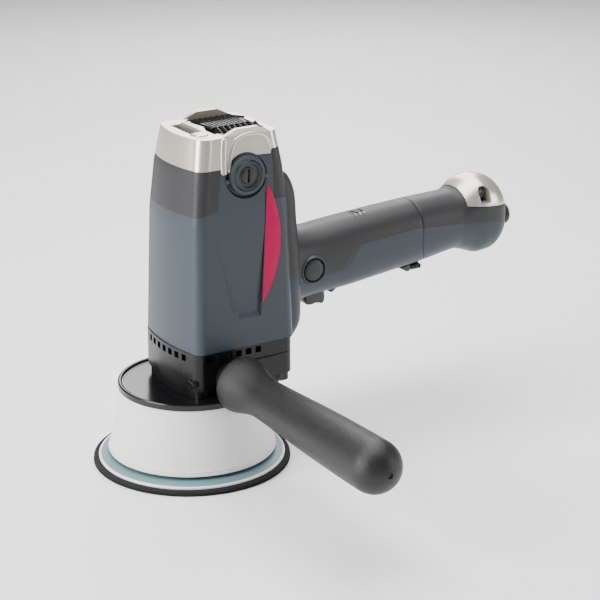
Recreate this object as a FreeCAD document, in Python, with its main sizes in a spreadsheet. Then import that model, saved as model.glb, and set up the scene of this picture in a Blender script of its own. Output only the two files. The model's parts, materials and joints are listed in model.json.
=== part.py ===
"""Dual action polisher: motor housing over an orbiting pad, with a rear handle and a side grip.

Millimetres, +Z up.  The origin is on the drive spindle's axis, in the plane of the pad's hook face.
+X runs along the rear handle, and the side grip stands out along -Y.
"""
import FreeCAD, Part
import math
import os
import re

import Sketcher
from FreeCAD import Placement, Rotation, Vector

# ---------------------------------------------------------------- driving sizes
SIZES = {
    # pad and its bearing
    "pad_r": 62.5,
    "hook_t": 1.2,
    "foam_t": 2.0,
    "foam_bevel": 0.8,
    "plate_r": 58.1,
    "plate_t": 1.6,
    "edge_ring_w": 0.6,
    "edge_ring_t": 0.9,
    "hub_r": 17,
    "hub_foot": 8,
    "hub_top": 11,
    "stud_r": 4,
    "stud_low": 5.5,
    "stud_top": 22,
    "pad_flange_r": 12,
    "pad_flange_t": 3,
    "pad_shoulder_r": 8,
    "orbit": 4,
    "orbit_angle": -122.4,
    # spindle, its bearings and the eccentric head
    "spindle_r": 6,
    "gear_seat_r": 5,
    "spindle_tip_r": 4,
    "head_r": 21,
    "head_low": 14.9,
    "head_top": 46,
    "pad_bearing_r": 13,
    "pad_bearing_t": 8,
    "pad_bearing_gap": 6,
    "pad_bearing_low": 16,
    "clip_w": 2.5,
    "clip_t": 1.2,
    "weight_r": 36,
    "weight_low": 25,
    "weight_top": 42,
    # gear pair
    "motor_x": 24,
    "gear_teeth": 27,
    "pinion_teeth": 15,
    "gear_low": 57.5,
    "gear_t": 6,
    "tooth_play": 0.14,
    # shroud dish and splash skirt
    "dish_r": 46.2,
    "dish_low": 47.5,
    "dish_t": 2.5,
    "dish_rim_w": 2.4,
    "dish_rim_t": 1.8,
    "dish_hole_r": 9,
    "skirt_lip_r": 53.3,
    "skirt_lip_low": 6.8,
    "skirt_lip_t": 2.6,
    "skirt_top_r": 45.4,
    "skirt_wall": 1.8,
    "skirt_flange_w": 5,
    "clamp_w": 3.5,
    "clamp_t": 1.5,
    # gear case
    "case_nose_x": -18.8,
    "case_bulge": 5.5,
    "case_half_w": 33,
    "case_rear_x": 56,
    "case_corner_r": 6,
    "case_wall": 2,
    "case_neck_inset": 1.5,
    "case_neck_t": 5.5,
    "case_floor_t": 6.5,
    "case_top": 79.5,
    "main_bearing_r": 14,
    "tip_bearing_r": 8,
    "motor_bearing_r": 11,
    "bearing_plate_low": 64.5,
    "bearing_plate_t": 5.5,
    "bearing_lip": 1,
    "post_r": 4.4,
    "post_front_x": -6,
    "post_rear_x": 46,
    "post_y": 28,
    "post_top": 95,
    "vent_w": 4,
    "vent_pitch": 7,
    "vent_low": 73.5,
    "vent_t": 4,
    "grip_boss_r": 9.5,
    "grip_boss_y": 46.8,
    # side grip
    "side_x": 8.4,
    "side_z": 61.8,
    "side_stud_r": 5,
    "side_stud_in": 32,
    "side_stud_out": 75,
    "side_bell_r": 17.7,
    "side_neck_r": 12.8,
    "side_neck_y": 75,
    "side_grip_r": 15.1,
    "side_ball_r": 16,
    "side_ball_y": 192,
    # motor housing: front corner x and half width at four levels
    "shell_low_x": -12.7,
    "shell_low_w": 34.1,
    "shell_mid_z": 160,
    "shell_mid_x": -10.5,
    "shell_mid_w": 31.8,
    "shell_shoulder_z": 190,
    "shell_shoulder_x": -7.4,
    "shell_shoulder_w": 29.9,
    "shell_top_z": 212,
    "shell_top_x": -3.6,
    "shell_top_w": 26.8,
    "shell_bulge": 5.3,
    "shell_rear_x": 57,
    "shell_rear_mid_x": 54.8,
    "shell_rear_shoulder_x": 52.3,
    "shell_rear_top_x": 49,
    "shell_corner_r": 6.5,
    "shell_wall": 2.5,
    "band_low": 165.5,
    "band_high": 168.5,
    "band_rear_x": 3.1,
    "band_slant": 3.8,
    "rear_band_x": 43,
    "rear_band_low": 170.6,
    "cap_front_z": 193.5,
    "cap_fin_z": 190,
    "cap_side_z": 199.5,
    "cap_side_x": 42,
    "cap_rear_z": 202.3,
    "cap_ring_r": 13.6,
    "brow_front_x": 10,
    "brow_rear_x": 43,
    "brow_z": 216,
    "brow_w": 7,
    "stripe_t": 0.35,
    "stripe_low_x": 32.4,
    "stripe_top_x": 37.9,
    "stripe_w": 11.3,
    "stripe_low": 105.3,
    "stripe_top": 181,
    # top grille
    "grille_front_x": -3,
    "grille_rear_x": 46,
    "grille_half_w": 18.5,
    "grille_t": 3,
    "grille_slat": 2.2,
    "grille_pitch": 4.2,
    "bridge_x": 6,
    "bridge_w": 4,
    "window_near": 9,
    "window_far": 16.5,
    # motor
    "shaft_r": 4,
    "shaft_low": 56.9,
    "shaft_top": 203,
    "fan_low": 71.5,
    "fan_t": 7,
    "fan_r": 20.5,
    "fan_disc_t": 1.4,
    "fan_hub_w": 3,
    "blade_half_t": 0.7,
    "fan_blades": 11,
    "core_r": 17.8,
    "core_low": 98,
    "core_t": 60,
    "core_slots": 12,
    "winding_r": 15.5,
    "winding_t": 9,
    "commutator_r": 11,
    "commutator_low": 178,
    "commutator_t": 16,
    "air_gap": 0.5,
    "stator_r": 28.3,
    "coil_out_r": 24.5,
    "coil_end": 6,
    "stator_bolt_r": 2,
    "stator_bolt_x": 23.5,
    "bracket_low": 195,
    "bracket_t": 7,
    "bracket_r": 13,
    "bracket_arm_w": 12,
    "bracket_arm_t": 4,
    "bracket_arm_y": 25.4,
    "top_bearing_r": 9,
    "brush_z": 188,
    "brush_w": 6,
    "brush_deep": 9,
    "brush_out": 21,
    "holder_wall": 1.8,
    "holder_in": 12.3,
    "brush_cap_r": 9.5,
    "brush_cap_y": 33.2,
    "brush_cap_t": 4,
    "brush_cap_spigot_r": 4.9,
    "brush_cap_spigot_t": 2.3,
    "cap_slot_w": 1.8,
    "cap_slot_half": 7.5,
    "cap_slot_deep": 1.3,
    "brush_boss_r": 11.9,
    "brush_boss_y": 32.6,
    # hump behind the housing
    "hump_in_x": 46,
    "hump_half_w": 25,
    "hump_corner_r": 9,
    "hump_low": 72,
    "hump_foot_x": 62.5,
    "hump_belly_z": 84,
    "hump_belly_x": 69.9,
    "hump_waist_z": 110,
    "hump_back_z": 148,
    "hump_back_x": 67,
    "hump_shoulder_z": 169,
    "hump_shoulder_x": 65.4,
    "hump_top": 183,
    "hump_top_x": 58,
    # rear handle stations: place, centre height, half height and half width
    "root_x": 60,
    "root_z": 114,
    "root_half_h": 23.5,
    "root_half_w": 20.5,
    "front_x": 84,
    "front_z": 115,
    "front_half_h": 22.8,
    "front_half_w": 20,
    "guard_x": 112,
    "guard_z": 116.9,
    "guard_half_h": 23,
    "guard_half_w": 19.6,
    "mid_x": 150,
    "mid_z": 120,
    "mid_half_h": 22,
    "mid_half_w": 19.2,
    "neck_x": 196,
    "neck_z": 123.8,
    "neck_half_h": 19.9,
    "neck_half_w": 19,
    "rise_x": 207,
    "rise_z": 125.5,
    "rise_half_h": 23.9,
    "rise_half_w": 20,
    "bulge_x": 217,
    "bulge_z": 125.1,
    "bulge_half_h": 26.5,
    "bulge_half_w": 21,
    "back_x": 226,
    "back_z": 124.8,
    "back_half_h": 25,
    "back_half_w": 20.2,
    "tail_x": 232.5,
    "tail_z": 124.2,
    "tail_half_h": 20,
    "tail_half_w": 17,
    "end_x": 239.5,
    "end_z": 121.5,
    "end_half_h": 9.5,
    "end_half_w": 8.5,
    "grip_round": 0.85,
    "grip_wall": 2.5,
    "split_root_z": 110.4,
    "split_turn_x": 102.6,
    "split_step_x": 114,
    "split_step_z": 124.5,
    "split_mid_x": 161,
    "split_mid_z": 127.9,
    "split_end_z": 119.5,
    "seam_top_x": 162,
    "seam_low_x": 176,
    "end_cap_x": 201,
    "end_cap_z": 135.6,
    "end_cap_end_z": 129.4,
    "sleeve_in": 14,
    "sleeve_out": 8,
    "sleeve_gap": 0.7,
    "sleeve_wall": 1.8,
    "sleeve_seat": 5,
    "handle_screw_in": 1.2,
    "handle_screw_len": 14,
    "handle_screw_deep": 1.5,
    "root_screw_x": 61,
    "root_screw_low": 92,
    "root_screw_top": 150,
    "mid_screw_x": 142,
    "mid_screw_low": 107,
    "mid_screw_top": 134,
    # controls
    "trigger_x": 81,
    "trigger_w": 15.5,
    "trigger_half_y": 6.8,
    "trigger_low": 85,
    "trigger_top": 103,
    "trigger_gap": 0.5,
    "switch_low": 109.5,
    "switch_t": 17,
    "switch_half_y": 9,
    "switch_len": 32,
    "lock_x": 78.7,
    "lock_z": 114.7,
    "lock_r": 7.4,
    "lock_out": 21,
    "lock_in": 13,
    "lock_gap": 0.4,
    "dial_x": 124,
    "dial_z": 133.3,
    "dial_r": 8.2,
    "dial_t": 5,
    "dial_gap": 0.5,
    "dial_axle_r": 1.5,
    "board_low": 118,
    "board_t": 1.6,
    "board_len": 34,
    "latch_x": 163,
    "latch_len": 8.5,
    "latch_half_y": 4.6,
    "latch_low": 95.8,
    "latch_t": 6,
    "latch_gap": 0.4,
    "latch_spring_top": 108,
    "inlet_z": 120,
    "inlet_r": 5.8,
    "inlet_bore_r": 4,
    "inlet_flange_r": 7.8,
    "inlet_in": 229,
    "inlet_out": 245.5,
    # fasteners and fits
    "screw_r": 2,
    "screw_head_r": 3.6,
    "screw_head_t": 2.6,
    "running_gap": 0.05,
    "loose_gap": 0.3,
    "spring_wire_r": 0.45,
    "spring_r": 2.6,
    "cap_screw_x": 213.5,
    "cap_screw_z": 141.4,
    "cap_screw_in": 13,
}

doc = FreeCAD.newDocument("DualActionPolisher")
sheet = doc.addObject("Spreadsheet::Sheet", "Sizes")
for row, (alias, number) in enumerate(SIZES.items(), start=1):
    sheet.set("A%d" % row, alias)
    sheet.set("B%d" % row, str(number))
    sheet.setAlias("B%d" % row, alias)
doc.recompute()

nodes = {}


# ---------------------------------------------------------------- helpers
def ref(formula):
    """Point every size name in a formula at its cell in the sheet."""
    return re.sub(r"[a-z][a-z_0-9]*", lambda m: "Sizes." + m[0] if m[0] in SIZES else m[0], formula)


def val(formula):
    """Number that a formula gives with the sheet's present sizes."""
    return float(sheet.evalExpression(ref(formula)))


def bind(thing, **formulas):
    for name, formula in formulas.items():
        thing.setExpression(name, ref(formula))
    return thing


def place(thing, x="0", y="0", z="0", turn=None):
    """Tie a piece's place to the sheet; turn is an angle about +Z in degrees."""
    for axis, formula in zip("xyz", (x, y, z)):
        thing.setExpression("Placement.Base." + axis, ref(formula))
    if turn is not None:
        thing.Placement.Rotation = Rotation(Vector(0, 0, 1), val(turn))
        thing.setExpression("Placement.Rotation.Angle", ref(turn))
    return thing


def keep(node, thing):
    """Name a finished sub-part and list it for export."""
    thing.Label = node
    nodes[node] = thing
    return thing


def body(name):
    return doc.addObject("PartDesign::Body", name)


def on_plane(owner, role, offset="0"):
    """Empty sketch on one of a body's origin planes, raised by offset along its normal."""
    outline = owner.newObject("Sketcher::SketchObject", "Outline")
    datum = [item for item in owner.Origin.OriginFeatures if item.Role == role][0]
    outline.AttachmentSupport = [(datum, "")]
    outline.MapMode = "FlatFace"
    outline.setExpression("AttachmentOffset.Base.z", ref(offset))
    return outline


def circle(owner, radius):
    """Sketch of one circle round a body's Z axis."""
    outline = on_plane(owner, "XY_Plane")
    edge = outline.addGeometry(Part.Circle(Vector(), Vector(0, 0, 1), val(radius)), False)
    outline.addConstraint(Sketcher.Constraint("Coincident", edge, 3, -1, 1))
    tie = outline.addConstraint(Sketcher.Constraint("Radius", edge, val(radius)))
    outline.setExpression("Constraints[%d]" % tie, ref(radius))
    return outline


def sketch(owner, role, corners, arcs=None, offset="0"):
    """Closed outline on an origin plane.  corners are (u, v) formulas, anticlockwise.

    arcs maps an edge's number to a radius formula and a side: +1 swells outwards, -1 is hollow.
    """
    arcs = arcs or {}
    outline = on_plane(owner, role, offset)
    points = [Vector(val(u), val(v), 0) for u, v in corners]
    ends = []
    for number, start in enumerate(points):
        finish = points[(number + 1) % len(points)]
        if number in arcs:
            ends.append(arc_edge(outline, start, finish, *arcs[number]))
        else:
            line = outline.addGeometry(Part.LineSegment(start, finish), False)
            ends.append((line, 1, 2))
    for number, (edge, first, last) in enumerate(ends):
        after, after_first, _ = ends[(number + 1) % len(ends)]
        outline.addConstraint(Sketcher.Constraint("Coincident", edge, last, after, after_first))
        for kind, formula, now in zip(("DistanceX", "DistanceY"), corners[number], points[number]):
            tie = outline.addConstraint(Sketcher.Constraint(kind, -1, 1, edge, first, now))
            outline.setExpression("Constraints[%d]" % tie, ref(formula))
        if number in arcs:
            radius = val(arcs[number][0])
            tie = outline.addConstraint(Sketcher.Constraint("Radius", edge, radius))
            outline.setExpression("Constraints[%d]" % tie, ref(arcs[number][0]))
    return outline


def arc_edge(outline, start, finish, radius, side):
    """Arc from start to finish; returns its number and which of its ends come first and last."""
    chord = finish - start
    left = Vector(-chord.y, chord.x, 0).normalize()
    rise = math.sqrt(max(val(radius) ** 2 - (chord.Length / 2) ** 2, 0))
    centre = (start + finish) * 0.5 + left * (side * rise)
    low, high = (start, finish) if side > 0 else (finish, start)
    angles = [math.atan2(p.y - centre.y, p.x - centre.x) for p in (low, high)]
    circle = Part.Circle(centre, Vector(0, 0, 1), val(radius))
    edge = outline.addGeometry(Part.ArcOfCircle(circle, angles[0], angles[1]), False)
    return (edge, 1, 2) if side > 0 else (edge, 2, 1)


def add_pad(owner, outline, length, both_ways=False):
    feature = owner.newObject("PartDesign::Pad", "Pad")
    feature.Profile = outline
    if both_ways:
        feature.SideType = "Symmetric"
    bind(feature, Length=length)
    owner.Tip = feature
    return feature


def add_pocket(owner, outline, length, both_ways=False, backwards=False):
    feature = owner.newObject("PartDesign::Pocket", "Pocket")
    feature.Profile = outline
    feature.Reversed = backwards
    if both_ways:
        feature.SideType = "Symmetric"
    bind(feature, Length=length)
    owner.Tip = feature
    return feature


def add_pattern(owner, feature, count):
    pattern = owner.newObject("PartDesign::PolarPattern", "Pattern")
    pattern.Originals = [feature]
    pattern.Axis = ([item for item in owner.Origin.OriginFeatures if item.Role == "Z_Axis"][0], [""])
    pattern.Angle = 360
    bind(pattern, Occurrences=count)
    owner.Tip = pattern
    return pattern


def prism(name, role, corners, length, arcs=None, offset="0", both_ways=False):
    """Body made by padding one outline."""
    owner = body(name)
    add_pad(owner, sketch(owner, role, corners, arcs, offset), length, both_ways)
    return owner


def region(name, corners):
    """Wide slab with an outline in the XZ plane, used to divide the housings."""
    return prism(name, "XZ_Plane", corners, "grip_boss_y * 4", both_ways=True)


def turned(name, profile, axis="Z", arcs=None):
    """Body of revolution; profile gives (radius, height along the axis) formulas."""
    owner = body(name)
    role = {"Z": "XZ_Plane", "Y": "XY_Plane", "X": "XY_Plane"}[axis]
    corners = [(h, r) for r, h in reversed(profile)] if axis == "X" else profile
    outline = sketch(owner, role, corners, arcs)
    feature = owner.newObject("PartDesign::Revolution", "Turn")
    feature.Profile = outline
    feature.ReferenceAxis = (outline, ["H_Axis" if axis == "X" else "V_Axis"])
    feature.Angle = 360
    owner.Tip = feature
    return owner


def lofted(name, role, sections, ruled=False):
    """Body through several outlines; each section is (offset, corners, arcs)."""
    owner = body(name)
    outlines = [sketch(owner, role, corners, arcs, offset) for offset, corners, arcs in sections]
    feature = owner.newObject("PartDesign::AdditiveLoft", "Loft")
    feature.Profile = outlines[0]
    feature.Sections = outlines[1:]
    feature.Ruled = ruled
    owner.Tip = feature
    return owner


TURNS = {
    "Z": Rotation(),
    "Y": Rotation(Vector(1, 0, 0), -90),
    "-Y": Rotation(Vector(1, 0, 0), 90),
    "X": Rotation(Vector(0, 1, 0), 90),
}


def rod(radius, length, x="0", y="0", z="0", axis="Z"):
    thing = doc.addObject("Part::Cylinder", "Rod")
    thing.Placement = Placement(Vector(), TURNS[axis])
    bind(thing, Radius=radius, Height=length)
    return place(thing, x, y, z)


def block(x_low, x_long, y_low, y_long, z_low, z_long):
    thing = doc.addObject("Part::Box", "Block")
    bind(thing, Length=x_long, Width=y_long, Height=z_long)
    return place(thing, x_low, y_low, z_low)


def fuse(*pieces):
    thing = doc.addObject("Part::MultiFuse", "Fuse")
    thing.Shapes = list(pieces)
    return thing


def group(*pieces):
    thing = doc.addObject("Part::Compound", "Group")
    thing.Links = list(pieces)
    return thing


def cut(base, *tools):
    thing = doc.addObject("Part::Cut", "Cut")
    thing.Base = base
    thing.Tool = tools[0] if len(tools) == 1 else fuse(*tools)
    return thing


def common(one, other):
    thing = doc.addObject("Part::Common", "Common")
    thing.Base = one
    thing.Tool = other
    return thing


def ring(outer, inner, length, x="0", y="0", z="0", axis="Z"):
    return cut(rod(outer, length, x, y, z, axis), rod(inner, length, x, y, z, axis))


def coil(base, length, x="0", y="0"):
    """Compression spring standing on base, wound round a vertical axis."""
    helix = doc.addObject("Part::Helix", "Helix")
    bind(helix, Radius="spring_r", Height=length + " - spring_wire_r * 2", Pitch="(" + length + ") / 4")
    place(helix, x, y, base + " + spring_wire_r")
    wire = doc.addObject("Part::Circle", "Wire")
    wire.Placement = Placement(Vector(), Rotation(Vector(1, 0, 0), 90))
    bind(wire, Radius="spring_wire_r")
    place(wire, x + " + spring_r", y, base + " + spring_wire_r")
    spring = doc.addObject("Part::Sweep", "Spring")
    spring.Sections = [wire]
    spring.Spine = (helix, ["Edge1"])
    spring.Solid = True
    spring.Frenet = True
    return spring


def screw(x, y, z, length, axis="Z"):
    """Pan head screw; the head's outer face is at the given place and the shank runs along axis."""
    away = {"Z": (x, y, z + " + screw_head_t"), "-Y": (x, y + " - screw_head_t", z)}
    away["Y"] = (x, y + " + screw_head_t", z)
    head = rod("screw_head_r", "screw_head_t", x, y, z, axis)
    shank = rod("screw_r", length, *away[axis], axis=axis)
    return fuse(head, shank)


# ---------------------------------------------------------------- pad set
PAD_X = "orbit * cos(orbit_angle)"
PAD_Y = "orbit * sin(orbit_angle)"
FOAM_TOP = "hook_t + foam_t"
PLATE_TOP = "hook_t + foam_t + plate_t"
FLANGE_TOP = "hub_top + pad_flange_t"
PAD_BEARING_TOP = "pad_bearing_low + pad_bearing_t * 2 + pad_bearing_gap"
CLIP_LOW = PAD_BEARING_TOP + " + loose_gap"
PAD_SPINDLE_TOP = CLIP_LOW + " + clip_t + loose_gap"


def pad_set():
    """Hook disc, foam, backing plate with its moulded stud, and the pad's own spindle."""
    hook = [("0", "0"), ("pad_r", "0"), ("pad_r", "hook_t"), ("0", "hook_t")]
    keep("hook_layer", place(turned("Hook", hook), PAD_X, PAD_Y))
    foam = [("0", "hook_t"), ("pad_r", "hook_t"), ("pad_r", FOAM_TOP + " - foam_bevel"),
            ("pad_r - foam_bevel", FOAM_TOP), ("0", FOAM_TOP)]
    keep("foam_layer", place(turned("Foam", foam), PAD_X, PAD_Y))
    plate = [("0", FOAM_TOP), ("plate_r", FOAM_TOP), ("plate_r", PLATE_TOP),
             ("hub_r + hub_foot", PLATE_TOP), ("hub_r", "hub_top"), ("stud_r", "hub_top"),
             ("stud_r", "stud_low"), ("0", "stud_low")]
    keep("backing_plate", place(turned("Plate", plate), PAD_X, PAD_Y))
    trim = ring("plate_r + edge_ring_w", "plate_r", "edge_ring_t", PAD_X, PAD_Y, FOAM_TOP)
    keep("plate_edge_ring", trim)
    keep("pad_stud", rod("stud_r", "stud_top - stud_low", PAD_X, PAD_Y, "stud_low"))
    shoulder = "pad_bearing_low - loose_gap"
    arbor = [("stud_r", "hub_top"), ("pad_flange_r", "hub_top"), ("pad_flange_r", FLANGE_TOP),
             ("pad_shoulder_r", FLANGE_TOP), ("pad_shoulder_r", shoulder), ("spindle_r", shoulder),
             ("spindle_r", PAD_SPINDLE_TOP), ("0", PAD_SPINDLE_TOP), ("0", "stud_top"),
             ("stud_r", "stud_top")]
    keep("pad_spindle", place(turned("Arbor", arbor), PAD_X, PAD_Y))
    clip = ring("spindle_r + clip_w", "spindle_r", "clip_t", PAD_X, PAD_Y, CLIP_LOW)
    keep("spindle_clip", clip)


# ---------------------------------------------------------------- spindle with its eccentric
GEAR_TOP = "gear_low + gear_t"
PLATE_UP = "bearing_plate_low + bearing_plate_t"
GEAR_PITCH_R = "motor_x * gear_teeth / (gear_teeth + pinion_teeth)"
PINION_PITCH_R = "motor_x * pinion_teeth / (gear_teeth + pinion_teeth)"
MODULE = "motor_x * 2 / (gear_teeth + pinion_teeth)"
PRESSURE_SLOPE = "0.364"


def toothed(name, teeth, pitch_r, bore, turn):
    """Spur gear: a root disc and one tooth, repeated round the axis."""
    owner = body(name)
    root_r = pitch_r + " - " + MODULE
    tip_r = pitch_r + " + " + MODULE + " * 0.8"
    half = "(" + MODULE + " * 0.7854 - tooth_play / 2)"
    foot = half + " + " + MODULE + " * " + PRESSURE_SLOPE + " * 0.8"
    crown = half + " - " + MODULE + " * " + PRESSURE_SLOPE + " * 0.75"
    under = pitch_r + " - " + MODULE + " * 1.4"
    add_pad(owner, circle(owner, root_r), "gear_t")
    tooth = sketch(owner, "XY_Plane", [(under, "-(" + foot + ")"), (pitch_r, "-" + half),
                                       (tip_r, "-(" + crown + ")"), (tip_r, crown), (pitch_r, half),
                                       (under, foot)])
    add_pattern(owner, add_pad(owner, tooth, "gear_t"), teeth)
    add_pocket(owner, circle(owner, bore), "gear_t", backwards=True)
    return place(owner, turn=turn, z="gear_low")


def sector(name, inner, outer, half_angle, low, length, x="0", turn="0"):
    """Ring sector about the -X direction, then turned about +Z."""
    edge = [("-(" + radius + ") * cos(" + half_angle + ")", "(" + radius + ") * sin(" + half_angle + ")")
            for radius in (outer, inner)]
    (out_x, out_y), (in_x, in_y) = edge
    corners = [(out_x, out_y), (out_x, "-(" + out_y + ")"), (in_x, "-(" + in_y + ")"), (in_x, in_y)]
    piece = prism(name, "XY_Plane", corners, length, {0: (outer, 1), 2: (inner, -1)})
    return place(piece, x=x, z=low, turn=turn)


def spindle_set():
    """Shaft, gear, eccentric head with the pad bearings in it, and its counterweight."""
    shaft = [("0", "head_top"), ("spindle_r", "head_top"), ("spindle_r", "gear_low"),
             ("gear_seat_r", "gear_low"), ("gear_seat_r", GEAR_TOP), ("spindle_tip_r", GEAR_TOP),
             ("spindle_tip_r", PLATE_UP + " - bearing_lip"), ("0", PLATE_UP + " - bearing_lip")]
    keep("spindle", turned("Spindle", shaft))
    keep("spindle_gear", toothed("SpindleGear", "gear_teeth", GEAR_PITCH_R, "gear_seat_r", "0"))
    head = rod("head_r", "head_top - head_low", z="head_low")
    seat = rod("pad_bearing_r", PAD_SPINDLE_TOP + " + 1 - head_low", PAD_X, PAD_Y, "head_low")
    keep("eccentric_head", cut(head, seat))
    weight = sector("Weight", "head_r", "weight_r", "62", "weight_low", "weight_top - weight_low",
                    turn="orbit_angle")
    keep("counterweight", weight)
    second = "pad_bearing_low + pad_bearing_t + pad_bearing_gap"
    bearings = [ring("pad_bearing_r", "spindle_r + running_gap", "pad_bearing_t", PAD_X, PAD_Y, low)
                for low in ("pad_bearing_low", second)]
    keep("pad_bearings", group(*bearings))


# ---------------------------------------------------------------- gear case, dish and skirt
CASE_LOW = "dish_low + dish_t"
CASE_FLOOR = "dish_low + dish_t + case_floor_t"


def nose_plan(corner_x, bulge, half_w, rear_x, inset, corner_r):
    """Plan outline with a bowed front and round corners, drawn inset from its nominal size."""
    side = "(" + half_w + " - (" + inset + "))"
    front = "(" + corner_x + " + (" + inset + "))"
    rear = "(" + rear_x + " - (" + inset + "))"
    turn = "(" + corner_r + " - (" + inset + "))"
    bow = "((" + side + " ^ 2 + " + bulge + " ^ 2) / (2 * " + bulge + "))"
    shoulder = "(" + side + " - " + turn + ")"
    shoulder_x = front + " - " + bulge + " + " + bow + " - sqrt(" + bow + " ^ 2 - " + shoulder + " ^ 2)"
    corners = [(shoulder_x, "-" + shoulder), (front + " + " + turn, "-" + side),
               (rear + " - " + turn, "-" + side), (rear, "-" + shoulder), (rear, shoulder),
               (rear + " - " + turn, side), (front + " + " + turn, side), (shoulder_x, shoulder)]
    round_front = (turn + " * 1.1", 1)
    return corners, {0: round_front, 2: (turn, 1), 4: (turn, 1), 6: round_front, 7: (bow, 1)}


def case_prism(name, inset, low, length):
    corners, arcs = nose_plan("(case_nose_x + case_bulge)", "case_bulge", "case_half_w", "case_rear_x",
                              inset, "case_corner_r")
    return prism(name, "XY_Plane", corners, length, arcs, low)


def corner_posts(low, length, radius):
    spots = [(x, y) for x in ("post_front_x", "post_rear_x") for y in ("post_y", "-post_y")]
    return [rod(radius, length, x, y, low) for x, y in spots]


def vent_slots():
    """Cutters for the exhaust slots round the front and along both sides of the case."""
    slots = []
    for step in range(-3, 4):
        middle = "vent_pitch * %d - vent_w / 2" % step
        slots.append(block("case_nose_x - 1", "case_bulge + case_wall + 2", middle, "vent_w",
                           "vent_low", "vent_t"))
    for step in range(6):
        start = "case_nose_x + case_bulge + case_corner_r + vent_pitch * %d" % step
        slots.append(block(start, "vent_w", "-case_half_w - 1", "case_half_w * 2 + 2",
                           "vent_low", "vent_t"))
    return slots


def case_screws():
    """Dish screws from below, and long corner screws up into the motor housing."""
    dish = [screw(x, sign + y, "dish_low - screw_head_t", "dish_t + case_floor_t - 1")
            for x, y in (("2", "27"), ("26", "20")) for sign in ("", "-")]
    corner = [screw(x, y, CASE_LOW, "post_top - dish_low - dish_t - screw_head_t - 3")
              for x in ("post_front_x", "post_rear_x") for y in ("post_y", "-post_y")]
    return group(*dish, *corner)


def gear_end(screws):
    """Gear case casting, bearing plate, ball bearings, shroud dish, splash skirt and its clamp."""
    neck = case_prism("Neck", "case_neck_inset", CASE_LOW, "case_neck_t + 1")
    wall = case_prism("Wall", "0", CASE_LOW + " + case_neck_t",
                      "case_top - dish_low - dish_t - case_neck_t")
    room = case_prism("Room", "case_wall", CASE_FLOOR, "case_top - " + CASE_FLOOR.replace("+", "-"))
    bosses = [rod("grip_boss_r", "grip_boss_y - case_half_w + case_wall", "side_x",
                  "case_half_w - case_wall", "side_z", "Y"),
              rod("grip_boss_r", "grip_boss_y - case_half_w + case_wall", "side_x",
                  "case_wall - case_half_w", "side_z", "-Y")]
    stud_hole = rod("side_stud_r + running_gap", "grip_boss_y * 2", "side_x", "-grip_boss_y",
                    "side_z", "Y")
    posts = corner_posts(CASE_LOW + " + case_neck_inset",
                         "case_top - dish_low - dish_t - case_neck_inset", "post_r")
    seat = rod("main_bearing_r", "case_floor_t", z=CASE_LOW)
    shell = fuse(cut(fuse(neck, wall), room), *posts, *bosses)
    rim_room = ring("dish_r + 1", "dish_r - dish_rim_w - 1", "dish_rim_t + loose_gap", z=CASE_LOW)
    keep("gear_case", cut(shell, seat, stud_hole, screws, rim_room, *vent_slots()))

    plate = case_prism("BearingPlate", "case_wall", "bearing_plate_low", "bearing_plate_t")
    seat_low = "bearing_plate_low + bearing_lip"
    openings = [rod("tip_bearing_r", "bearing_plate_t - bearing_lip * 2", z=seat_low),
                rod("spindle_tip_r + loose_gap", "bearing_plate_t", z="bearing_plate_low - 1"),
                rod("motor_bearing_r", "bearing_plate_t", x="motor_x", z=seat_low),
                rod("shaft_r + 2", "bearing_plate_t", x="motor_x", z="bearing_plate_low - 1")]
    keep("bearing_plate", cut(plate, *openings, *corner_posts("bearing_plate_low", "bearing_plate_t",
                                                              "post_r")))
    main = ring("main_bearing_r", "spindle_r + running_gap", "case_floor_t", z=CASE_LOW)
    tip = ring("tip_bearing_r", "spindle_tip_r + running_gap", "bearing_plate_t - bearing_lip * 2",
               z=seat_low)
    keep("spindle_bearings", group(main, tip))

    rim_in = "dish_r - dish_rim_w"
    dish = [("dish_hole_r", "dish_low"), ("dish_r", "dish_low"), ("dish_r", CASE_LOW + " + dish_rim_t"),
            (rim_in, CASE_LOW + " + dish_rim_t"), (rim_in + " - 1", CASE_LOW), ("dish_hole_r", CASE_LOW)]
    keep("shroud_dish", cut(turned("Dish", dish), screws))
    lip_top = "skirt_lip_low + skirt_lip_t"
    skirt = [("skirt_lip_r - skirt_wall", "skirt_lip_low"), ("skirt_lip_r - 0.6", "skirt_lip_low"),
             ("skirt_lip_r", "skirt_lip_low + 0.8"), ("skirt_lip_r", lip_top + " - 0.6"),
             ("skirt_lip_r - 0.9", lip_top + " + 0.6"), ("skirt_top_r", "dish_low"),
             ("skirt_top_r - skirt_flange_w", "dish_low"),
             ("skirt_top_r - skirt_flange_w", "dish_low - skirt_wall"),
             ("skirt_top_r - skirt_wall", "dish_low - skirt_wall"),
             ("skirt_lip_r - skirt_wall - 0.9", lip_top + " + 0.6")]
    keep("splash_skirt", turned("Skirt", skirt))
    clamp_in = "skirt_top_r - skirt_flange_w"
    keep("skirt_clamp", ring(clamp_in + " + clamp_w - 1", clamp_in + " - 1", "clamp_t",
                             z="dish_low - skirt_wall - clamp_t"))


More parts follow.
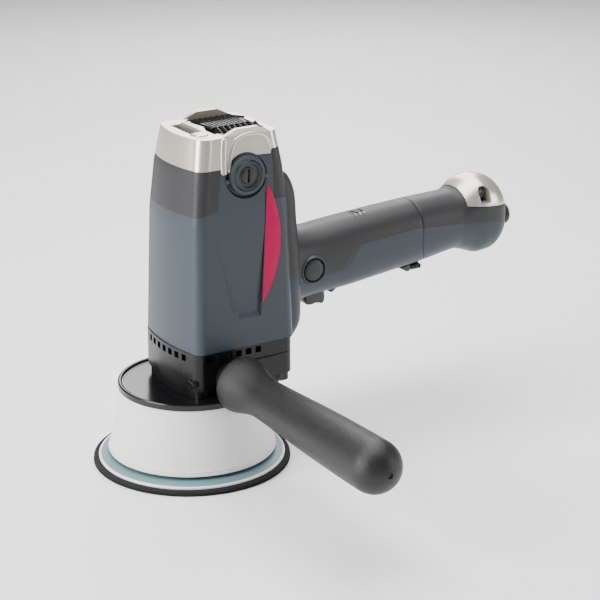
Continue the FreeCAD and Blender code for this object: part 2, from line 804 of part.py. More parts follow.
# ---------------------------------------------------------------- side grip
def side_grip():
    """Bell-ended rubber grip with a ball end, screwed on by a steel stud."""
    ball_y = "-side_ball_y"
    tip_y = "-side_ball_y - side_ball_r"
    profile = [("0", tip_y), ("side_ball_r", ball_y), ("side_grip_r", "-side_ball_y * 0.72"),
               ("side_neck_r", "-side_neck_y"), ("side_bell_r - 3", "-grip_boss_y - 9"),
               ("side_bell_r", "-grip_boss_y - 4"), ("side_bell_r", "-grip_boss_y"),
               ("side_stud_r", "-grip_boss_y"), ("side_stud_r", "-side_stud_out"),
               ("0", "-side_stud_out")]
    handle = turned("Grip", profile, "Y", {0: ("side_ball_r", 1)})
    keep("side_grip", place(handle, "side_x", "0", "side_z"))
    keep("side_stud", rod("side_stud_r", "side_stud_out - side_stud_in", "side_x", "-side_stud_in",
                          "side_z", "-Y"))


# ---------------------------------------------------------------- motor
BOSS_IN = "brush_cap_y - brush_cap_t - 3.4"


def disc_slots(owner, width, inner, outer, count, length):
    """Radial slots through a disc, repeated round its axis."""
    slot = sketch(owner, "XY_Plane", [(inner, "-(" + width + ")"), (outer, "-(" + width + ")"),
                                      (outer, width), (inner, width)])
    add_pattern(owner, add_pocket(owner, slot, length, backwards=True), count)
    return owner


def slotted_drum(name, radius, length, low, slot_half, slot_in, count):
    owner = body(name)
    add_pad(owner, circle(owner, radius), length)
    disc_slots(owner, slot_half, slot_in, radius + " + 1", count, length)
    return cut(place(owner, x="motor_x", z=low), rod("shaft_r", length, x="motor_x", z=low))


def armature_set():
    """Turning part of the motor: shaft, laminations, windings, commutator, fan and pinion."""
    keep("armature_shaft", rod("shaft_r", "shaft_top - shaft_low", x="motor_x", z="shaft_low"))
    core_top = "core_low + core_t"
    drum = slotted_drum("Core", "core_r", "core_t", "core_low", "1.1", "core_r - 6", "core_slots")
    keep("armature_core", drum)
    turns = [ring("winding_r", "shaft_r", "winding_t", x="motor_x", z=low)
             for low in ("core_low - winding_t", core_top)]
    keep("armature_windings", group(*turns))
    segments = slotted_drum("Commutator", "commutator_r", "commutator_t", "commutator_low", "0.3",
                            "commutator_r - 1.2", "core_slots * 2")
    keep("commutator", segments)
    fan = body("Fan")
    add_pad(fan, circle(fan, "fan_r"), "fan_disc_t")
    add_pad(fan, circle(fan, "shaft_r + fan_hub_w"), "fan_t")
    inner, outer = "shaft_r + fan_hub_w - 1", "fan_r - 0.5"
    blade = sketch(fan, "XY_Plane", [(inner, "-blade_half_t"), (outer, "-blade_half_t"),
                                     (outer, "blade_half_t"), (inner, "blade_half_t")])
    add_pattern(fan, add_pad(fan, blade, "fan_t"), "fan_blades")
    place(fan, x="motor_x", z="fan_low")
    keep("cooling_fan", cut(fan, rod("shaft_r", "fan_t", x="motor_x", z="fan_low")))
    pinion = toothed("Pinion", "pinion_teeth", PINION_PITCH_R, "shaft_r", "180 + 180 / pinion_teeth")
    keep("motor_pinion", place(pinion, x="motor_x", z="gear_low", turn="180 + 180 / pinion_teeth"))


def motor_fixed():
    """Standing part of the motor: stator, coils, bolts, bearings, bracket and brush gear."""
    bore = "core_r + air_gap"
    coils = [sector("Coil", bore + " + 0.8", "coil_out_r", "52", "core_low - coil_end",
                    "core_t + coil_end * 2", "motor_x", turn) for turn in ("90", "-90")]
    bolts = []
    for side in ("-", "+"):
        x = "motor_x " + side + " stator_bolt_x"
        shank = rod("stator_bolt_r", "core_low + core_t - " + PLATE_UP.replace("+", "-"), x, "0", PLATE_UP)
        head = rod("screw_head_r", "screw_head_t", x, "0", "core_low + core_t")
        bolts.append(fuse(shank, head))
    stack = ring("stator_r", bore, "core_t", x="motor_x", z="core_low")
    keep("stator_core", cut(stack, *coils, *bolts))
    keep("field_coils", group(*coils))
    keep("stator_bolts", group(*bolts))

    seat_low = "bearing_plate_low + bearing_lip"
    low = ring("motor_bearing_r", "shaft_r + running_gap", "bearing_plate_t - bearing_lip",
               x="motor_x", z=seat_low)
    high = ring("top_bearing_r", "shaft_r + running_gap", "bracket_t - bearing_lip",
                x="motor_x", z="bracket_low + bearing_lip")
    keep("motor_bearings", group(low, high))
    hub = rod("bracket_r", "bracket_t", x="motor_x", z="bracket_low")
    arms = block("motor_x - bracket_arm_w / 2", "bracket_arm_w", "-bracket_arm_y", "bracket_arm_y * 2",
                 "bracket_low", "bracket_arm_t")
    keep("bearing_bracket", cut(fuse(hub, arms),
                                rod("top_bearing_r", "bracket_t", x="motor_x",
                                    z="bracket_low + bearing_lip"),
                                rod("shaft_r + 1", "bracket_t", x="motor_x", z="bracket_low - 1")))
    holders, brushes, springs = [], [], []
    for side in (1, -1):
        holders.append(cut(brush_box(side, "holder_in", BOSS_IN, "holder_wall"),
                           brush_box(side, "holder_in - 1", BOSS_IN + " + 1", "0")))
        brushes.append(brush_box(side, "commutator_r + 0.1", "brush_out", "-0.1"))
        springs.append(brush_spring(side, "brush_out", BOSS_IN))
    keep("brush_holders", group(*holders))
    keep("carbon_brushes", group(*brushes))
    keep("brush_springs", group(*springs))


def brush_box(side, near, far, wall):
    """Square bar along Y at the brush height, from near to far on one side of the shaft."""
    low = near if side > 0 else "-(" + far + ")"
    return block("motor_x - brush_w / 2 - " + wall, "brush_w + 2 * " + wall, low,
                 "(" + far + ") - (" + near + ")", "brush_z - brush_deep / 2 - " + wall,
                 "brush_deep + 2 * " + wall)


def brush_spring(side, near, far):
    """Stack of flat turns that presses the brush in."""
    turns = []
    for step in range(4):
        start = near + " + ((" + far + ") - (" + near + ") - 0.6) * %d / 3" % step
        y = start if side > 0 else "-(" + start + ")"
        turns.append(ring("spring_r", "spring_r - 0.8", "0.6", "motor_x", y, "brush_z",
                          "Y" if side > 0 else "-Y"))
    core = rod("spring_r - 0.8", "(" + far + ") - (" + near + ")", "motor_x",
               near if side > 0 else "-(" + near + ")", "brush_z", "Y" if side > 0 else "-Y")
    return fuse(core, *turns)


# ---------------------------------------------------------------- motor housing and top cap
def housing_form(name, inset, low, top):
    """Tapering tower with a bowed front, drawn inset from the outer skin."""
    levels = [(low, "shell_low_x", "shell_low_w", "shell_rear_x"),
              ("shell_mid_z", "shell_mid_x", "shell_mid_w", "shell_rear_mid_x"),
              ("shell_shoulder_z", "shell_shoulder_x", "shell_shoulder_w", "shell_rear_shoulder_x"),
              (top, "shell_top_x", "shell_top_w", "shell_rear_top_x")]
    sections = []
    for height, corner_x, half_w, rear in levels:
        corners, arcs = nose_plan(corner_x, "shell_bulge", half_w, rear, inset, "shell_corner_r")
        sections.append((height, corners, arcs))
    return lofted(name, "XY_Plane", sections, ruled=True)


def brush_caps():
    """Slotted screw caps over the brushes, and the bores that they sit in."""
    bores = []
    for side, sign, axis in (("left", "-", "-Y"), ("right", "", "Y")):
        flange_in = "brush_cap_y - brush_cap_t"
        disc = rod("brush_cap_r", "brush_cap_t", "motor_x", sign + "(" + flange_in + ")", "brush_z", axis)
        spigot = rod("brush_cap_spigot_r", "brush_cap_spigot_t", "motor_x",
                     sign + "(" + flange_in + " - brush_cap_spigot_t)", "brush_z", axis)
        slot_low = "brush_cap_y - cap_slot_deep" if side == "right" else "-brush_cap_y - 1"
        slot = block("motor_x - cap_slot_w / 2", "cap_slot_w", slot_low, "cap_slot_deep + 1",
                     "brush_z - cap_slot_half", "cap_slot_half * 2")
        keep("brush_cap_" + side, cut(fuse(disc, spigot), slot))
        bores.append(rod("brush_cap_r + loose_gap", "brush_cap_t + 2", "motor_x",
                         sign + "(" + flange_in + " - loose_gap)", "brush_z", axis))
        bores.append(rod("brush_cap_spigot_r + loose_gap", "8", "motor_x",
                         sign + "(" + flange_in + " - 4)", "brush_z", axis))
    return bores


def top_grille():
    """Slatted air inlet under the roof of the cap."""
    owner = body("Grille")
    wide = "grille_half_w"
    floor = "shell_top_z - shell_wall - grille_t"
    plan = [("grille_front_x", "-" + wide), ("grille_rear_x", "-" + wide),
            ("grille_rear_x", wide), ("grille_front_x", wide)]
    add_pad(owner, sketch(owner, "XY_Plane", plan, offset=floor), "grille_t")
    gap = "grille_pitch - grille_slat"
    start = "bridge_x + bridge_w + 1"
    slot = sketch(owner, "XY_Plane", [(start, "3 - " + wide), (start + " + " + gap, "3 - " + wide),
                                      (start + " + " + gap, wide + " - 3"), (start, wide + " - 3")],
                  offset=floor)
    pocket = add_pocket(owner, slot, "grille_t", backwards=True)
    pattern = owner.newObject("PartDesign::LinearPattern", "Slats")
    pattern.Originals = [pocket]
    pattern.Direction = ([item for item in owner.Origin.OriginFeatures if item.Role == "X_Axis"][0], [""])
    bind(pattern, Occurrences="floor((grille_rear_x - bridge_x - bridge_w - 4) / grille_pitch)")
    bind(pattern, Length="grille_pitch * (Occurrences - 1)")
    owner.Tip = pattern
    return keep("vent_grille", owner)


def housing_set(screws):
    """Two-colour tower, its metal-look top cap and the coloured stripe on its sides."""
    outer = housing_form("TowerOuter", "0", "case_top", "shell_top_z")
    inner = housing_form("TowerInner", "shell_wall", "case_top", "shell_top_z - shell_wall")
    skin = cut(outer, inner)
    far = "shell_rear_x + 40"
    roof = "shell_top_z + 20"
    fin_x = "band_rear_x + band_slant"
    cap_slab = region("CapSlab", [
        ("-60", "cap_front_z"), (fin_x, "cap_front_z"), (fin_x + " + 0.6", "cap_fin_z"),
        ("motor_x", "cap_fin_z"), ("motor_x", "cap_side_z"), ("cap_side_x", "cap_side_z - 1"),
        ("cap_side_x + 0.6", "cap_rear_z - 1"), (far, "cap_rear_z"), (far, roof), ("-60", roof)])
    brush_round = rod("cap_ring_r", "grip_boss_y * 2", "motor_x", "-grip_boss_y", "brush_z", "Y")
    cap_zone = cut(cap_slab, brush_round)
    band_zone = region("BandZone", [("-60", "band_low"), ("shell_mid_x", "band_low"),
                                    ("band_rear_x", "band_high"), (fin_x, "cap_front_z"),
                                    ("-60", "cap_front_z")])
    rear_zone = region("RearZone", [("rear_band_x", "rear_band_low"), (far, "rear_band_low"),
                                    (far, "cap_rear_z"), ("rear_band_x", "cap_rear_z")])
    windows = [block("grille_front_x + 1", "bridge_x - grille_front_x - 1", "-window_near",
                     "window_near + window_far", "shell_top_z - shell_wall - 1", "shell_wall + 2"),
               block("bridge_x + bridge_w", "grille_rear_x - bridge_x - bridge_w - 1",
                     "2 - grille_half_w", "grille_half_w * 2 - 4", "shell_top_z - shell_wall - 1",
                     "shell_wall + 2")]
    brow_foot = "shell_top_z - 1"
    brow = prism("Brow", "XZ_Plane", [
        ("brow_front_x", brow_foot), ("brow_rear_x", brow_foot), ("brow_rear_x", "shell_top_z"),
        ("brow_rear_x - 8", "brow_z"), ("brow_front_x + 10", "brow_z"), ("brow_front_x", "shell_top_z")],
        "shell_top_w * 2 - 1", both_ways=True)
    valley = block("brow_front_x - 1", "brow_rear_x - brow_front_x + 2", "brow_w - shell_top_w",
                   "(shell_top_w - brow_w) * 2", "shell_top_z - 2", "10")
    keep("top_cap", cut(fuse(common(skin, cap_zone), cut(brow, valley)), *windows))
    keep("front_band", common(skin, band_zone))
    keep("rear_band", cut(common(skin, rear_zone), cap_zone))
    bores = brush_caps()
    bosses = [rod("brush_boss_r", "brush_boss_y - (" + BOSS_IN + ")", "motor_x", sign + "(" + BOSS_IN + ")",
                  "brush_z", axis) for sign, axis in (("", "Y"), ("-", "-Y"))]
    posts = [common(post, outer) for post in corner_posts("case_top", "post_top - case_top", "post_r")]
    tower = cut(skin, cap_zone, band_zone, rear_zone)
    keep("motor_housing", cut(fuse(tower, *bosses, *posts), screws, *bores))
    reach = "((stripe_top - stripe_low) ^ 2 + (stripe_top_x - stripe_low_x) ^ 2)"
    lens_r = "(" + reach + " / 4 + stripe_w ^ 2) / (2 * stripe_w)"
    ends = [("stripe_low_x", "stripe_low"), ("stripe_top_x", "stripe_top")]
    lens = prism("StripeZone", "XZ_Plane", ends, "grip_boss_y * 4", {0: (lens_r, 1)}, both_ways=True)
    proud = housing_form("TowerProud", "-stripe_t", "case_top", "shell_top_z")
    keep("accent_stripe", common(cut(proud, outer), lens))
    return outer


# ---------------------------------------------------------------- rear handle
STATIONS = ("root", "front", "guard", "mid", "neck", "rise", "bulge", "back", "tail", "end")


def rounded_plan(half_u, half_v, radius, mid_v="0"):
    """Rounded rectangle, anticlockwise from the lower right corner."""
    u, v, r = "(" + half_u + ")", "(" + half_v + ")", "(" + radius + ")"
    corners = [(u + " - " + r, mid_v + " - " + v), (u, mid_v + " - " + v + " + " + r),
               (u, mid_v + " + " + v + " - " + r), (u + " - " + r, mid_v + " + " + v),
               (r + " - " + u, mid_v + " + " + v), ("-" + u, mid_v + " + " + v + " - " + r),
               ("-" + u, mid_v + " - " + v + " + " + r), (r + " - " + u, mid_v + " - " + v)]
    return corners, {edge: (radius, 1) for edge in (0, 2, 4, 6)}


def handle_form(name, inset, end_gap):
    """Rounded bar through the handle's stations, drawn inset from the outer skin."""
    sections = []
    for station in STATIONS:
        half_h = station + "_half_h - (" + inset + ")"
        half_w = station + "_half_w - (" + inset + ")"
        place_x = station + "_x" + (" - " + end_gap if station == "end" else "")
        radius = "grip_round * min(" + half_h + "; " + half_w + ")"
        corners, arcs = rounded_plan(half_w, half_h, radius, station + "_z")
        sections.append((place_x, corners, arcs))
    return lofted(name, "YZ_Plane", sections, ruled=True)


def hump_form(name, inset):
    """Rounded back of the motor housing that the handle grows out of, drawn inset."""
    levels = [("hump_low + " + inset, "hump_foot_x"), ("hump_belly_z", "hump_belly_x"),
              ("hump_waist_z", "hump_belly_x"), ("hump_back_z", "hump_back_x"),
              ("hump_shoulder_z", "hump_shoulder_x"), ("hump_top - " + inset, "hump_top_x")]
    half = "hump_half_w - " + inset
    radius = "hump_corner_r - " + inset
    sections = []
    for height, rear in levels:
        back = rear + " - " + inset
        corners = [("hump_in_x", "-(" + half + ")"), (back + " - (" + radius + ")", "-(" + half + ")"),
                   (back, "-(" + half + ") + " + radius), (back, half + " - (" + radius + ")"),
                   (back + " - (" + radius + ")", half), ("hump_in_x", half)]
        sections.append((height, corners, {1: (radius, 1), 3: (radius, 1)}))
    return lofted(name, "XY_Plane", sections, ruled=True)


def handle_screws():
    """Screws that close the handle from its far side, their posts and the bores for their heads."""
    spots = [("root_screw_x", "root_screw_low", "hump_half_w"),
             ("mid_screw_x", "mid_screw_low", "mid_half_w - handle_screw_deep"),
             ("root_screw_x", "root_screw_top", "hump_half_w"),
             ("mid_screw_x + 4", "mid_screw_top", "mid_half_w - handle_screw_deep")]
    posts, screws, bores = [], [], []
    for x, z, face in spots:
        posts.append(rod("screw_r + 2.4", "hump_half_w * 2", x, "-hump_half_w", z, "Y"))
        screws.append(screw(x, face + " - handle_screw_in", z, "handle_screw_len", "-Y"))
        bores.append(rod("screw_head_r + loose_gap", "handle_screw_len", x,
                         face + " - handle_screw_in - loose_gap", z, "Y"))
    return posts, screws, bores


def handle_set(tower):
    """Rear handle in two colours, with the parting line of its pull-off rear grip."""
    solid = fuse(hump_form("HumpOuter", "0"), handle_form("HandleOuter", "0", "0"))
    hollow = fuse(hump_form("HumpInner", "grip_wall"), handle_form("HandleInner", "grip_wall", "grip_wall"))
    posts, screws, bores = handle_screws()
    case_end = case_prism("CaseEnd", "0", CASE_LOW, "case_top - dish_low - dish_t")
    inside_posts = [common(post, solid) for post in posts]
    skin = cut(fuse(cut(solid, hollow), *inside_posts), tower, case_end)

    far = "end_x + 20"
    low_zone = region("LowZone", [
        ("0", "0"), (far, "0"), (far, "split_end_z"), ("split_mid_x", "split_mid_z"),
        ("split_step_x", "split_step_z"), ("split_turn_x", "split_root_z"), ("0", "split_root_z")])
    rear_zone = region("RearGripZone", [("seam_low_x", "mid_z - 40"), (far, "mid_z - 40"),
                                        (far, "mid_z + 40"), ("seam_top_x", "mid_z + 40")])
    cap_zone = region("EndCapZone", [("end_cap_x", "end_cap_z"), (far, "end_cap_end_z"),
                                     (far, "mid_z + 40"), ("end_cap_x", "mid_z + 40")])
    front = cut(skin, rear_zone)
    rear = common(skin, rear_zone)
    controls = control_openings()
    keep("handle_screws", group(*screws))
    drilled = cut(front, *controls, *bores, *screws)
    keep("handle_lower", common(drilled, low_zone))
    keep("handle_upper", cut(drilled, low_zone))

    inlet_hole = rod("inlet_r + running_gap", "30", "end_x - 10", "0", "inlet_z", "X")
    keep("rear_grip_lower", cut(common(rear, low_zone), inlet_hole))
    keep("rear_grip_upper", cut(rear, low_zone, cap_zone, inlet_hole))
    cap_screws, recesses = end_cap_screws()
    post = common(rod("screw_head_r + 2", "bulge_half_w * 2", "cap_screw_x", "-bulge_half_w", "cap_screw_z",
                      "Y"), solid)
    keep("end_cap", cut(common(fuse(rear, post), cap_zone), *recesses, *cap_screws))
    keep("end_cap_screws", group(*cap_screws))
    sleeve_outer = handle_form("SleeveOuter", "grip_wall + sleeve_gap", "0")
    sleeve_inner = handle_form("SleeveInner", "grip_wall + sleeve_gap + sleeve_wall", "0")
    sleeve_seat = handle_form("SleeveSeat", "grip_wall", "0")
    sleeve_x = "(seam_top_x + seam_low_x) / 2 - sleeve_in"
    reach = block(sleeve_x, "sleeve_in + sleeve_out", "-40", "80", "mid_z - 40", "80")
    root = block(sleeve_x, "sleeve_seat", "-40", "80", "mid_z - 40", "80")
    latch_room = block("latch_x - 1", "latch_len + 2", "-latch_half_y - 1", "latch_half_y * 2 + 2",
                       "latch_low - 5", "latch_spring_top - latch_low + 5")
    stop = block("latch_x - 1", "latch_len + 2", "-mid_half_w", "mid_half_w * 2", "latch_spring_top",
                 "sleeve_wall")
    sleeve = fuse(common(cut(sleeve_outer, sleeve_inner), reach), common(stop, sleeve_outer),
                  common(cut(sleeve_seat, sleeve_inner), root))
    keep("seam_sleeve", cut(sleeve, latch_room))
    inlet = [("inlet_bore_r", "inlet_in"), ("inlet_flange_r", "inlet_in"),
             ("inlet_flange_r", "inlet_in + 2"), ("inlet_r", "inlet_in + 2"), ("inlet_r", "inlet_out"),
             ("inlet_bore_r", "inlet_out")]
    keep("cord_inlet", place(turned("Inlet", inlet, "X"), "0", "0", "inlet_z"))


def end_cap_screws():
    """Two screws that hold the bright end cap, one in a recess on each side."""
    screws, recesses = [], []
    for side, axis in (("-", "Y"), ("", "-Y")):
        screws.append(screw("cap_screw_x", side + "(cap_screw_in)", "cap_screw_z", "8", axis))
        recesses.append(rod("screw_head_r + 1", "12", "cap_screw_x", side + "(cap_screw_in)",
                            "cap_screw_z", "-Y" if side else "Y"))
    return screws, recesses


# ---------------------------------------------------------------- controls in the handle
def control_openings():
    """Openings for the trigger, lock button, speed dial and latch."""
    gap = "trigger_gap"
    return [
        block("trigger_x - " + gap, "trigger_w + 2 * " + gap, "-(trigger_half_y + " + gap + ")",
              "2 * (trigger_half_y + " + gap + ")", "trigger_low - 12", "trigger_top - trigger_low + 12"),
        rod("lock_r + lock_gap", "20", "lock_x", "-lock_out + 10", "lock_z", "-Y"),
        block("dial_x - dial_r - dial_gap", "2 * (dial_r + dial_gap)", "-(dial_t / 2 + dial_gap)",
              "dial_t + 2 * dial_gap", "dial_z", "dial_r + 12"),
        block("latch_x - latch_gap", "latch_len + 2 * latch_gap", "-(latch_half_y + latch_gap)",
              "2 * (latch_half_y + latch_gap)", "latch_low - 12", "latch_t + 14"),
    ]


def controls():
    """Trigger and its spring, switch, lock button, speed dial with its board, and grip latch."""
    nose = [("trigger_x", "trigger_low + 4"), ("trigger_x + 3", "trigger_low"),
            ("trigger_x + trigger_w - 6.5", "trigger_low"),
            ("trigger_x + trigger_w - 1.5", "trigger_low + 4.5"),
            ("trigger_x + trigger_w", "trigger_top"), ("trigger_x", "trigger_top")]
    keep("trigger", prism("Trigger", "XZ_Plane", nose, "trigger_half_y * 2", both_ways=True))
    keep("trigger_spring", coil("trigger_top", "switch_low - trigger_top", "trigger_x + trigger_w / 2"))
    keep("switch_body", block("trigger_x", "switch_len", "-switch_half_y", "switch_half_y * 2",
                              "switch_low", "switch_t"))
    keep("lock_button", rod("lock_r", "lock_out - lock_in", "lock_x", "-lock_in", "lock_z", "-Y"))

    dial = ring("dial_r", "dial_axle_r + running_gap", "dial_t", "dial_x", "-dial_t / 2", "dial_z", "Y")
    keep("speed_dial", dial)
    board_top = "board_low + board_t"
    board = block("dial_x - board_len / 2 + 16", "board_len", "-9", "18", "board_low", "board_t")
    lugs = [block("dial_x - 3", "6", "%s(dial_t / 2 + dial_gap) - 0.9 %s 0.9" % (sign, sign or "+"), "1.8",
                  "board_low", "dial_z + 3 - board_low") for sign in ("-", "")]
    axle = rod("dial_axle_r", "dial_t + 2 * dial_gap + 2", "dial_x", "-(dial_t / 2 + dial_gap + 1)",
               "dial_z", "Y")
    keep("speed_board", fuse(board, axle, *lugs))

    rib = "latch_len / 7"
    teeth = [block("latch_x + " + rib + " * %d" % number, rib, "-latch_half_y", "latch_half_y * 2",
                   "latch_low", "1.2") for number in (0, 2, 4, 6)]
    slab = block("latch_x", "latch_len", "-latch_half_y", "latch_half_y * 2", "latch_low + 1.2",
                 "latch_t - 1.2")
    keep("latch_button", fuse(slab, *teeth))
    keep("latch_spring", coil("latch_low + latch_t", "latch_spring_top - latch_low - latch_t",
                              "latch_x + latch_len / 2"))


# ---------------------------------------------------------------- build, check and write
def build():
    pad_set()
    spindle_set()
    screws = keep("case_screws", case_screws())
    gear_end(screws)
    side_grip()
    armature_set()
    motor_fixed()
    tower = housing_set(screws)
    top_grille()
    handle_set(tower)
    controls()
    doc.recompute()


def check_and_write():
    for thing in doc.Objects:
        bad = {"Invalid", "Error"} & set(thing.State)
        if bad:
            raise RuntimeError("%s (%s) did not build: %s" % (thing.Name, thing.Label, thing.State))
    os.makedirs("parts", exist_ok=True)
    for node, thing in nodes.items():
        shape = thing.Shape
        if shape.isNull() or not shape.isValid() or shape.Volume <= 0:
            raise RuntimeError(node + " has no valid solid")
        shape.exportStep("parts/%s.step" % node)
        print("%-18s solids %2d  volume %9.1f mm3" % (node, len(shape.Solids), shape.Volume))
    print(len(nodes), "nodes")


build()
check_and_write()
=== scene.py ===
# %% [markdown]
# This lesson dresses the finished frame of a dual action polisher.  The frame is the tool's
# engineering model, already in its place.  Everything made here is in metres in the same frame:
# the pad rests on the floor, the drive spindle stands at the origin, the rear handle runs
# along +X and the side grip stands out along -Y.

# %% Load the frame
import bmesh
import bpy
import json
import math
from mathutils import Matrix, Vector


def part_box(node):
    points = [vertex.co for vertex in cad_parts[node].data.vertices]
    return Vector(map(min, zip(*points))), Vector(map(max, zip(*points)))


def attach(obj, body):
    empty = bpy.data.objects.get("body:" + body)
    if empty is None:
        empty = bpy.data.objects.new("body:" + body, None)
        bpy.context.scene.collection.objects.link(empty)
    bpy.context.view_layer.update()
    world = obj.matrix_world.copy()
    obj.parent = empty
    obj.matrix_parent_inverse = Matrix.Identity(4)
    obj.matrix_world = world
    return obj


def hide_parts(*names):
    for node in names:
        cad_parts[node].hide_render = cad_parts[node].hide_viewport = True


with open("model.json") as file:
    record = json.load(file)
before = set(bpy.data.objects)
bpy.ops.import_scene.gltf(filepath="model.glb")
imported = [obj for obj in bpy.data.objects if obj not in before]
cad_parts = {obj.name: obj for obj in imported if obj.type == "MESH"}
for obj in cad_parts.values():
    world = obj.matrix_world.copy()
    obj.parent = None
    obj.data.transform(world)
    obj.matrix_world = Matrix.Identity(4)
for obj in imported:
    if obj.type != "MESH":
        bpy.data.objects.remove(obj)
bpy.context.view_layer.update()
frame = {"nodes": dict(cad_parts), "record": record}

MM = 0.001
SIDES = ((-1, "left"), (1, "right"))

# %% [markdown]
# A few small helpers carry the whole lesson.  Two turn points given in millimetres into an
# object.  One runs the modifiers and keeps only their result, so that no piece reaches the frame
# with anything live on it, and the rounding, the cutting and the node trees all use it.  The
# last one hands a piece to the body that it moves with.

# %% Helpers for making and handing over a piece
def shape(name, points, faces):
    """Mesh object from points in millimetres, with its faces turned outwards."""
    mesh = bpy.data.meshes.new(name)
    mesh.from_pydata([Vector(p) * MM for p in points], [], faces)
    thing = bpy.data.objects.new(name, mesh)
    bpy.context.scene.collection.objects.link(thing)
    tidy_faces(mesh)
    return thing


def loft(name, rings):
    """Closed skin over rings that all have the same number of points."""
    count = len(rings[0])
    points = [point for ring in rings for point in ring]
    total = len(points)
    faces = [tuple(range(count)), tuple(range(total - 1, total - count - 1, -1))]
    for start in range(0, total - count, count):
        faces += [(start + k, start + (k + 1) % count, start + count + (k + 1) % count, start + count + k)
                  for k in range(count)]
    return shape(name, points, faces)


def tidy_faces(mesh):
    bm = bmesh.new()
    bm.from_mesh(mesh)
    bmesh.ops.remove_doubles(bm, verts=bm.verts, dist=0.00001)
    bmesh.ops.recalc_face_normals(bm, faces=bm.faces)
    bm.to_mesh(mesh)
    bm.free()


def settle(thing):
    """Replaces an object's mesh by what its modifiers make of it, and removes them."""
    view = bpy.context.evaluated_depsgraph_get()
    result = bpy.data.meshes.new_from_object(thing.evaluated_get(view), depsgraph=view)
    thing.modifiers.clear()
    thing.data = result
    return thing


def soften(thing, width=0.4, angle=32, segments=2, smooth=32, even=False):
    """Rounds the sharp edges by width millimetres, and can let the large faces rule the shading."""
    if width:
        bevel = thing.modifiers.new("Rounding", "BEVEL")
        bevel.width = width * MM
        bevel.segments = segments
        bevel.limit_method = "ANGLE"
        bevel.angle_limit = math.radians(angle)
        bevel.harden_normals = False
        settle(thing)
    thing.data.shade_smooth()
    thing.data.set_sharp_from_angle(angle=math.radians(smooth))
    if even:
        weigh = thing.modifiers.new("Even shading", "WEIGHTED_NORMAL")
        weigh.keep_sharp = True
        settle(thing)
    return thing


def carve(thing, *cutters):
    """Cuts other objects out of one, and removes them."""
    for cutter in cutters:
        cutting = thing.modifiers.new("Cut", "BOOLEAN")
        cutting.operation = "DIFFERENCE"
        cutting.solver = "EXACT"
        cutting.object = cutter
    settle(thing)
    for cutter in cutters:
        bpy.data.objects.remove(cutter)


def grown(name, tree, start, **values):
    """Runs a node tree with the given inputs and keeps its mesh, moved to start in millimetres."""
    thing = bpy.data.objects.new(name, bpy.data.meshes.new(name))
    bpy.context.scene.collection.objects.link(thing)
    maker = thing.modifiers.new("Maker", "NODES")
    maker.node_group = tree
    for item in tree.interface.items_tree:
        label = item.name.replace(" ", "_")
        if item.in_out == "INPUT" and label in values:
            maker[item.identifier] = values[label]
    settle(thing)
    thing.data.transform(Matrix.Translation(Vector(start) * MM))
    return thing


def hand_over(thing, body, slot, *nodes):
    """Gives a piece the finish of its slot and its body, and hides the frame nodes that it stands for."""
    thing.data.materials.clear()
    thing.data.materials.append(looks[slot])
    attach(thing, body)
    if nodes:
        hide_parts(*nodes)
    print("%-22s %6d faces" % (thing.name, len(thing.data.polygons)))


# %% [markdown]
# Most finishes on a power tool share one surface effect: a fine moulded grain with a slow drift
# in tone.  It is built once as a node group that gives a mask and a height, so that every
# material can set its own scale.  A second group draws the parallel lines of turned, brushed,
# laminated or wound parts.

# %% Shared surface effects
def effect_group(name, numbers):
    tree = bpy.data.node_groups.new(name, "ShaderNodeTree")
    for label, value in numbers.items():
        socket = tree.interface.new_socket(label, in_out="INPUT", socket_type="NodeSocketFloat")
        socket.default_value = value
    for label in ("Tone", "Height"):
        tree.interface.new_socket(label, in_out="OUTPUT", socket_type="NodeSocketFloat")
    return tree, tree.nodes.new("NodeGroupInput"), tree.nodes.new("NodeGroupOutput")


def grain_group():
    tree, into, out = effect_group("Moulded grain", {"Grain per metre": 1500.0, "Drift per metre": 18.0})
    place = tree.nodes.new("ShaderNodeTexCoord")
    fine = tree.nodes.new("ShaderNodeTexNoise")
    fine.inputs["Detail"].default_value = 4.0
    slow = tree.nodes.new("ShaderNodeTexNoise")
    pits = tree.nodes.new("ShaderNodeTexVoronoi")
    mix = tree.nodes.new("ShaderNodeMath")
    mix.operation = "MULTIPLY_ADD"
    mix.inputs[1].default_value = 0.6
    for node, label in ((fine, "Grain per metre"), (pits, "Grain per metre"), (slow, "Drift per metre")):
        tree.links.new(place.outputs["Object"], node.inputs["Vector"])
        tree.links.new(into.outputs[label], node.inputs["Scale"])
    tree.links.new(pits.outputs["Distance"], mix.inputs[0])
    tree.links.new(fine.outputs["Fac"], mix.inputs[2])
    tree.links.new(slow.outputs["Fac"], out.inputs["Tone"])
    tree.links.new(mix.outputs[0], out.inputs["Height"])
    return tree


def line_group():
    tree, into, out = effect_group("Drawn lines", {"Lines per metre": 400.0, "Wander": 1.5})
    place = tree.nodes.new("ShaderNodeTexCoord")
    wave = tree.nodes.new("ShaderNodeTexWave")
    wave.bands_direction = "Z"
    wave.inputs["Detail"].default_value = 3.0
    slow = tree.nodes.new("ShaderNodeTexNoise")
    slow.inputs["Scale"].default_value = 60.0
    tree.links.new(place.outputs["Object"], wave.inputs["Vector"])
    tree.links.new(place.outputs["Object"], slow.inputs["Vector"])
    tree.links.new(into.outputs["Lines per metre"], wave.inputs["Scale"])
    tree.links.new(into.outputs["Wander"], wave.inputs["Distortion"])
    tree.links.new(wave.outputs["Fac"], out.inputs["Height"])
    tree.links.new(slow.outputs["Fac"], out.inputs["Tone"])
    return tree


EFFECTS = {"grain": grain_group(), "lines": line_group()}
print("shared effects:", ", ".join(EFFECTS))

# %% [markdown]
# Each finish is one Principled shader.  The colour drifts between two close tones, the roughness
# drifts between two values, and the height goes through a Bump node.  Coat and specular
# values are the same all over a part, so they are set on the shader itself.

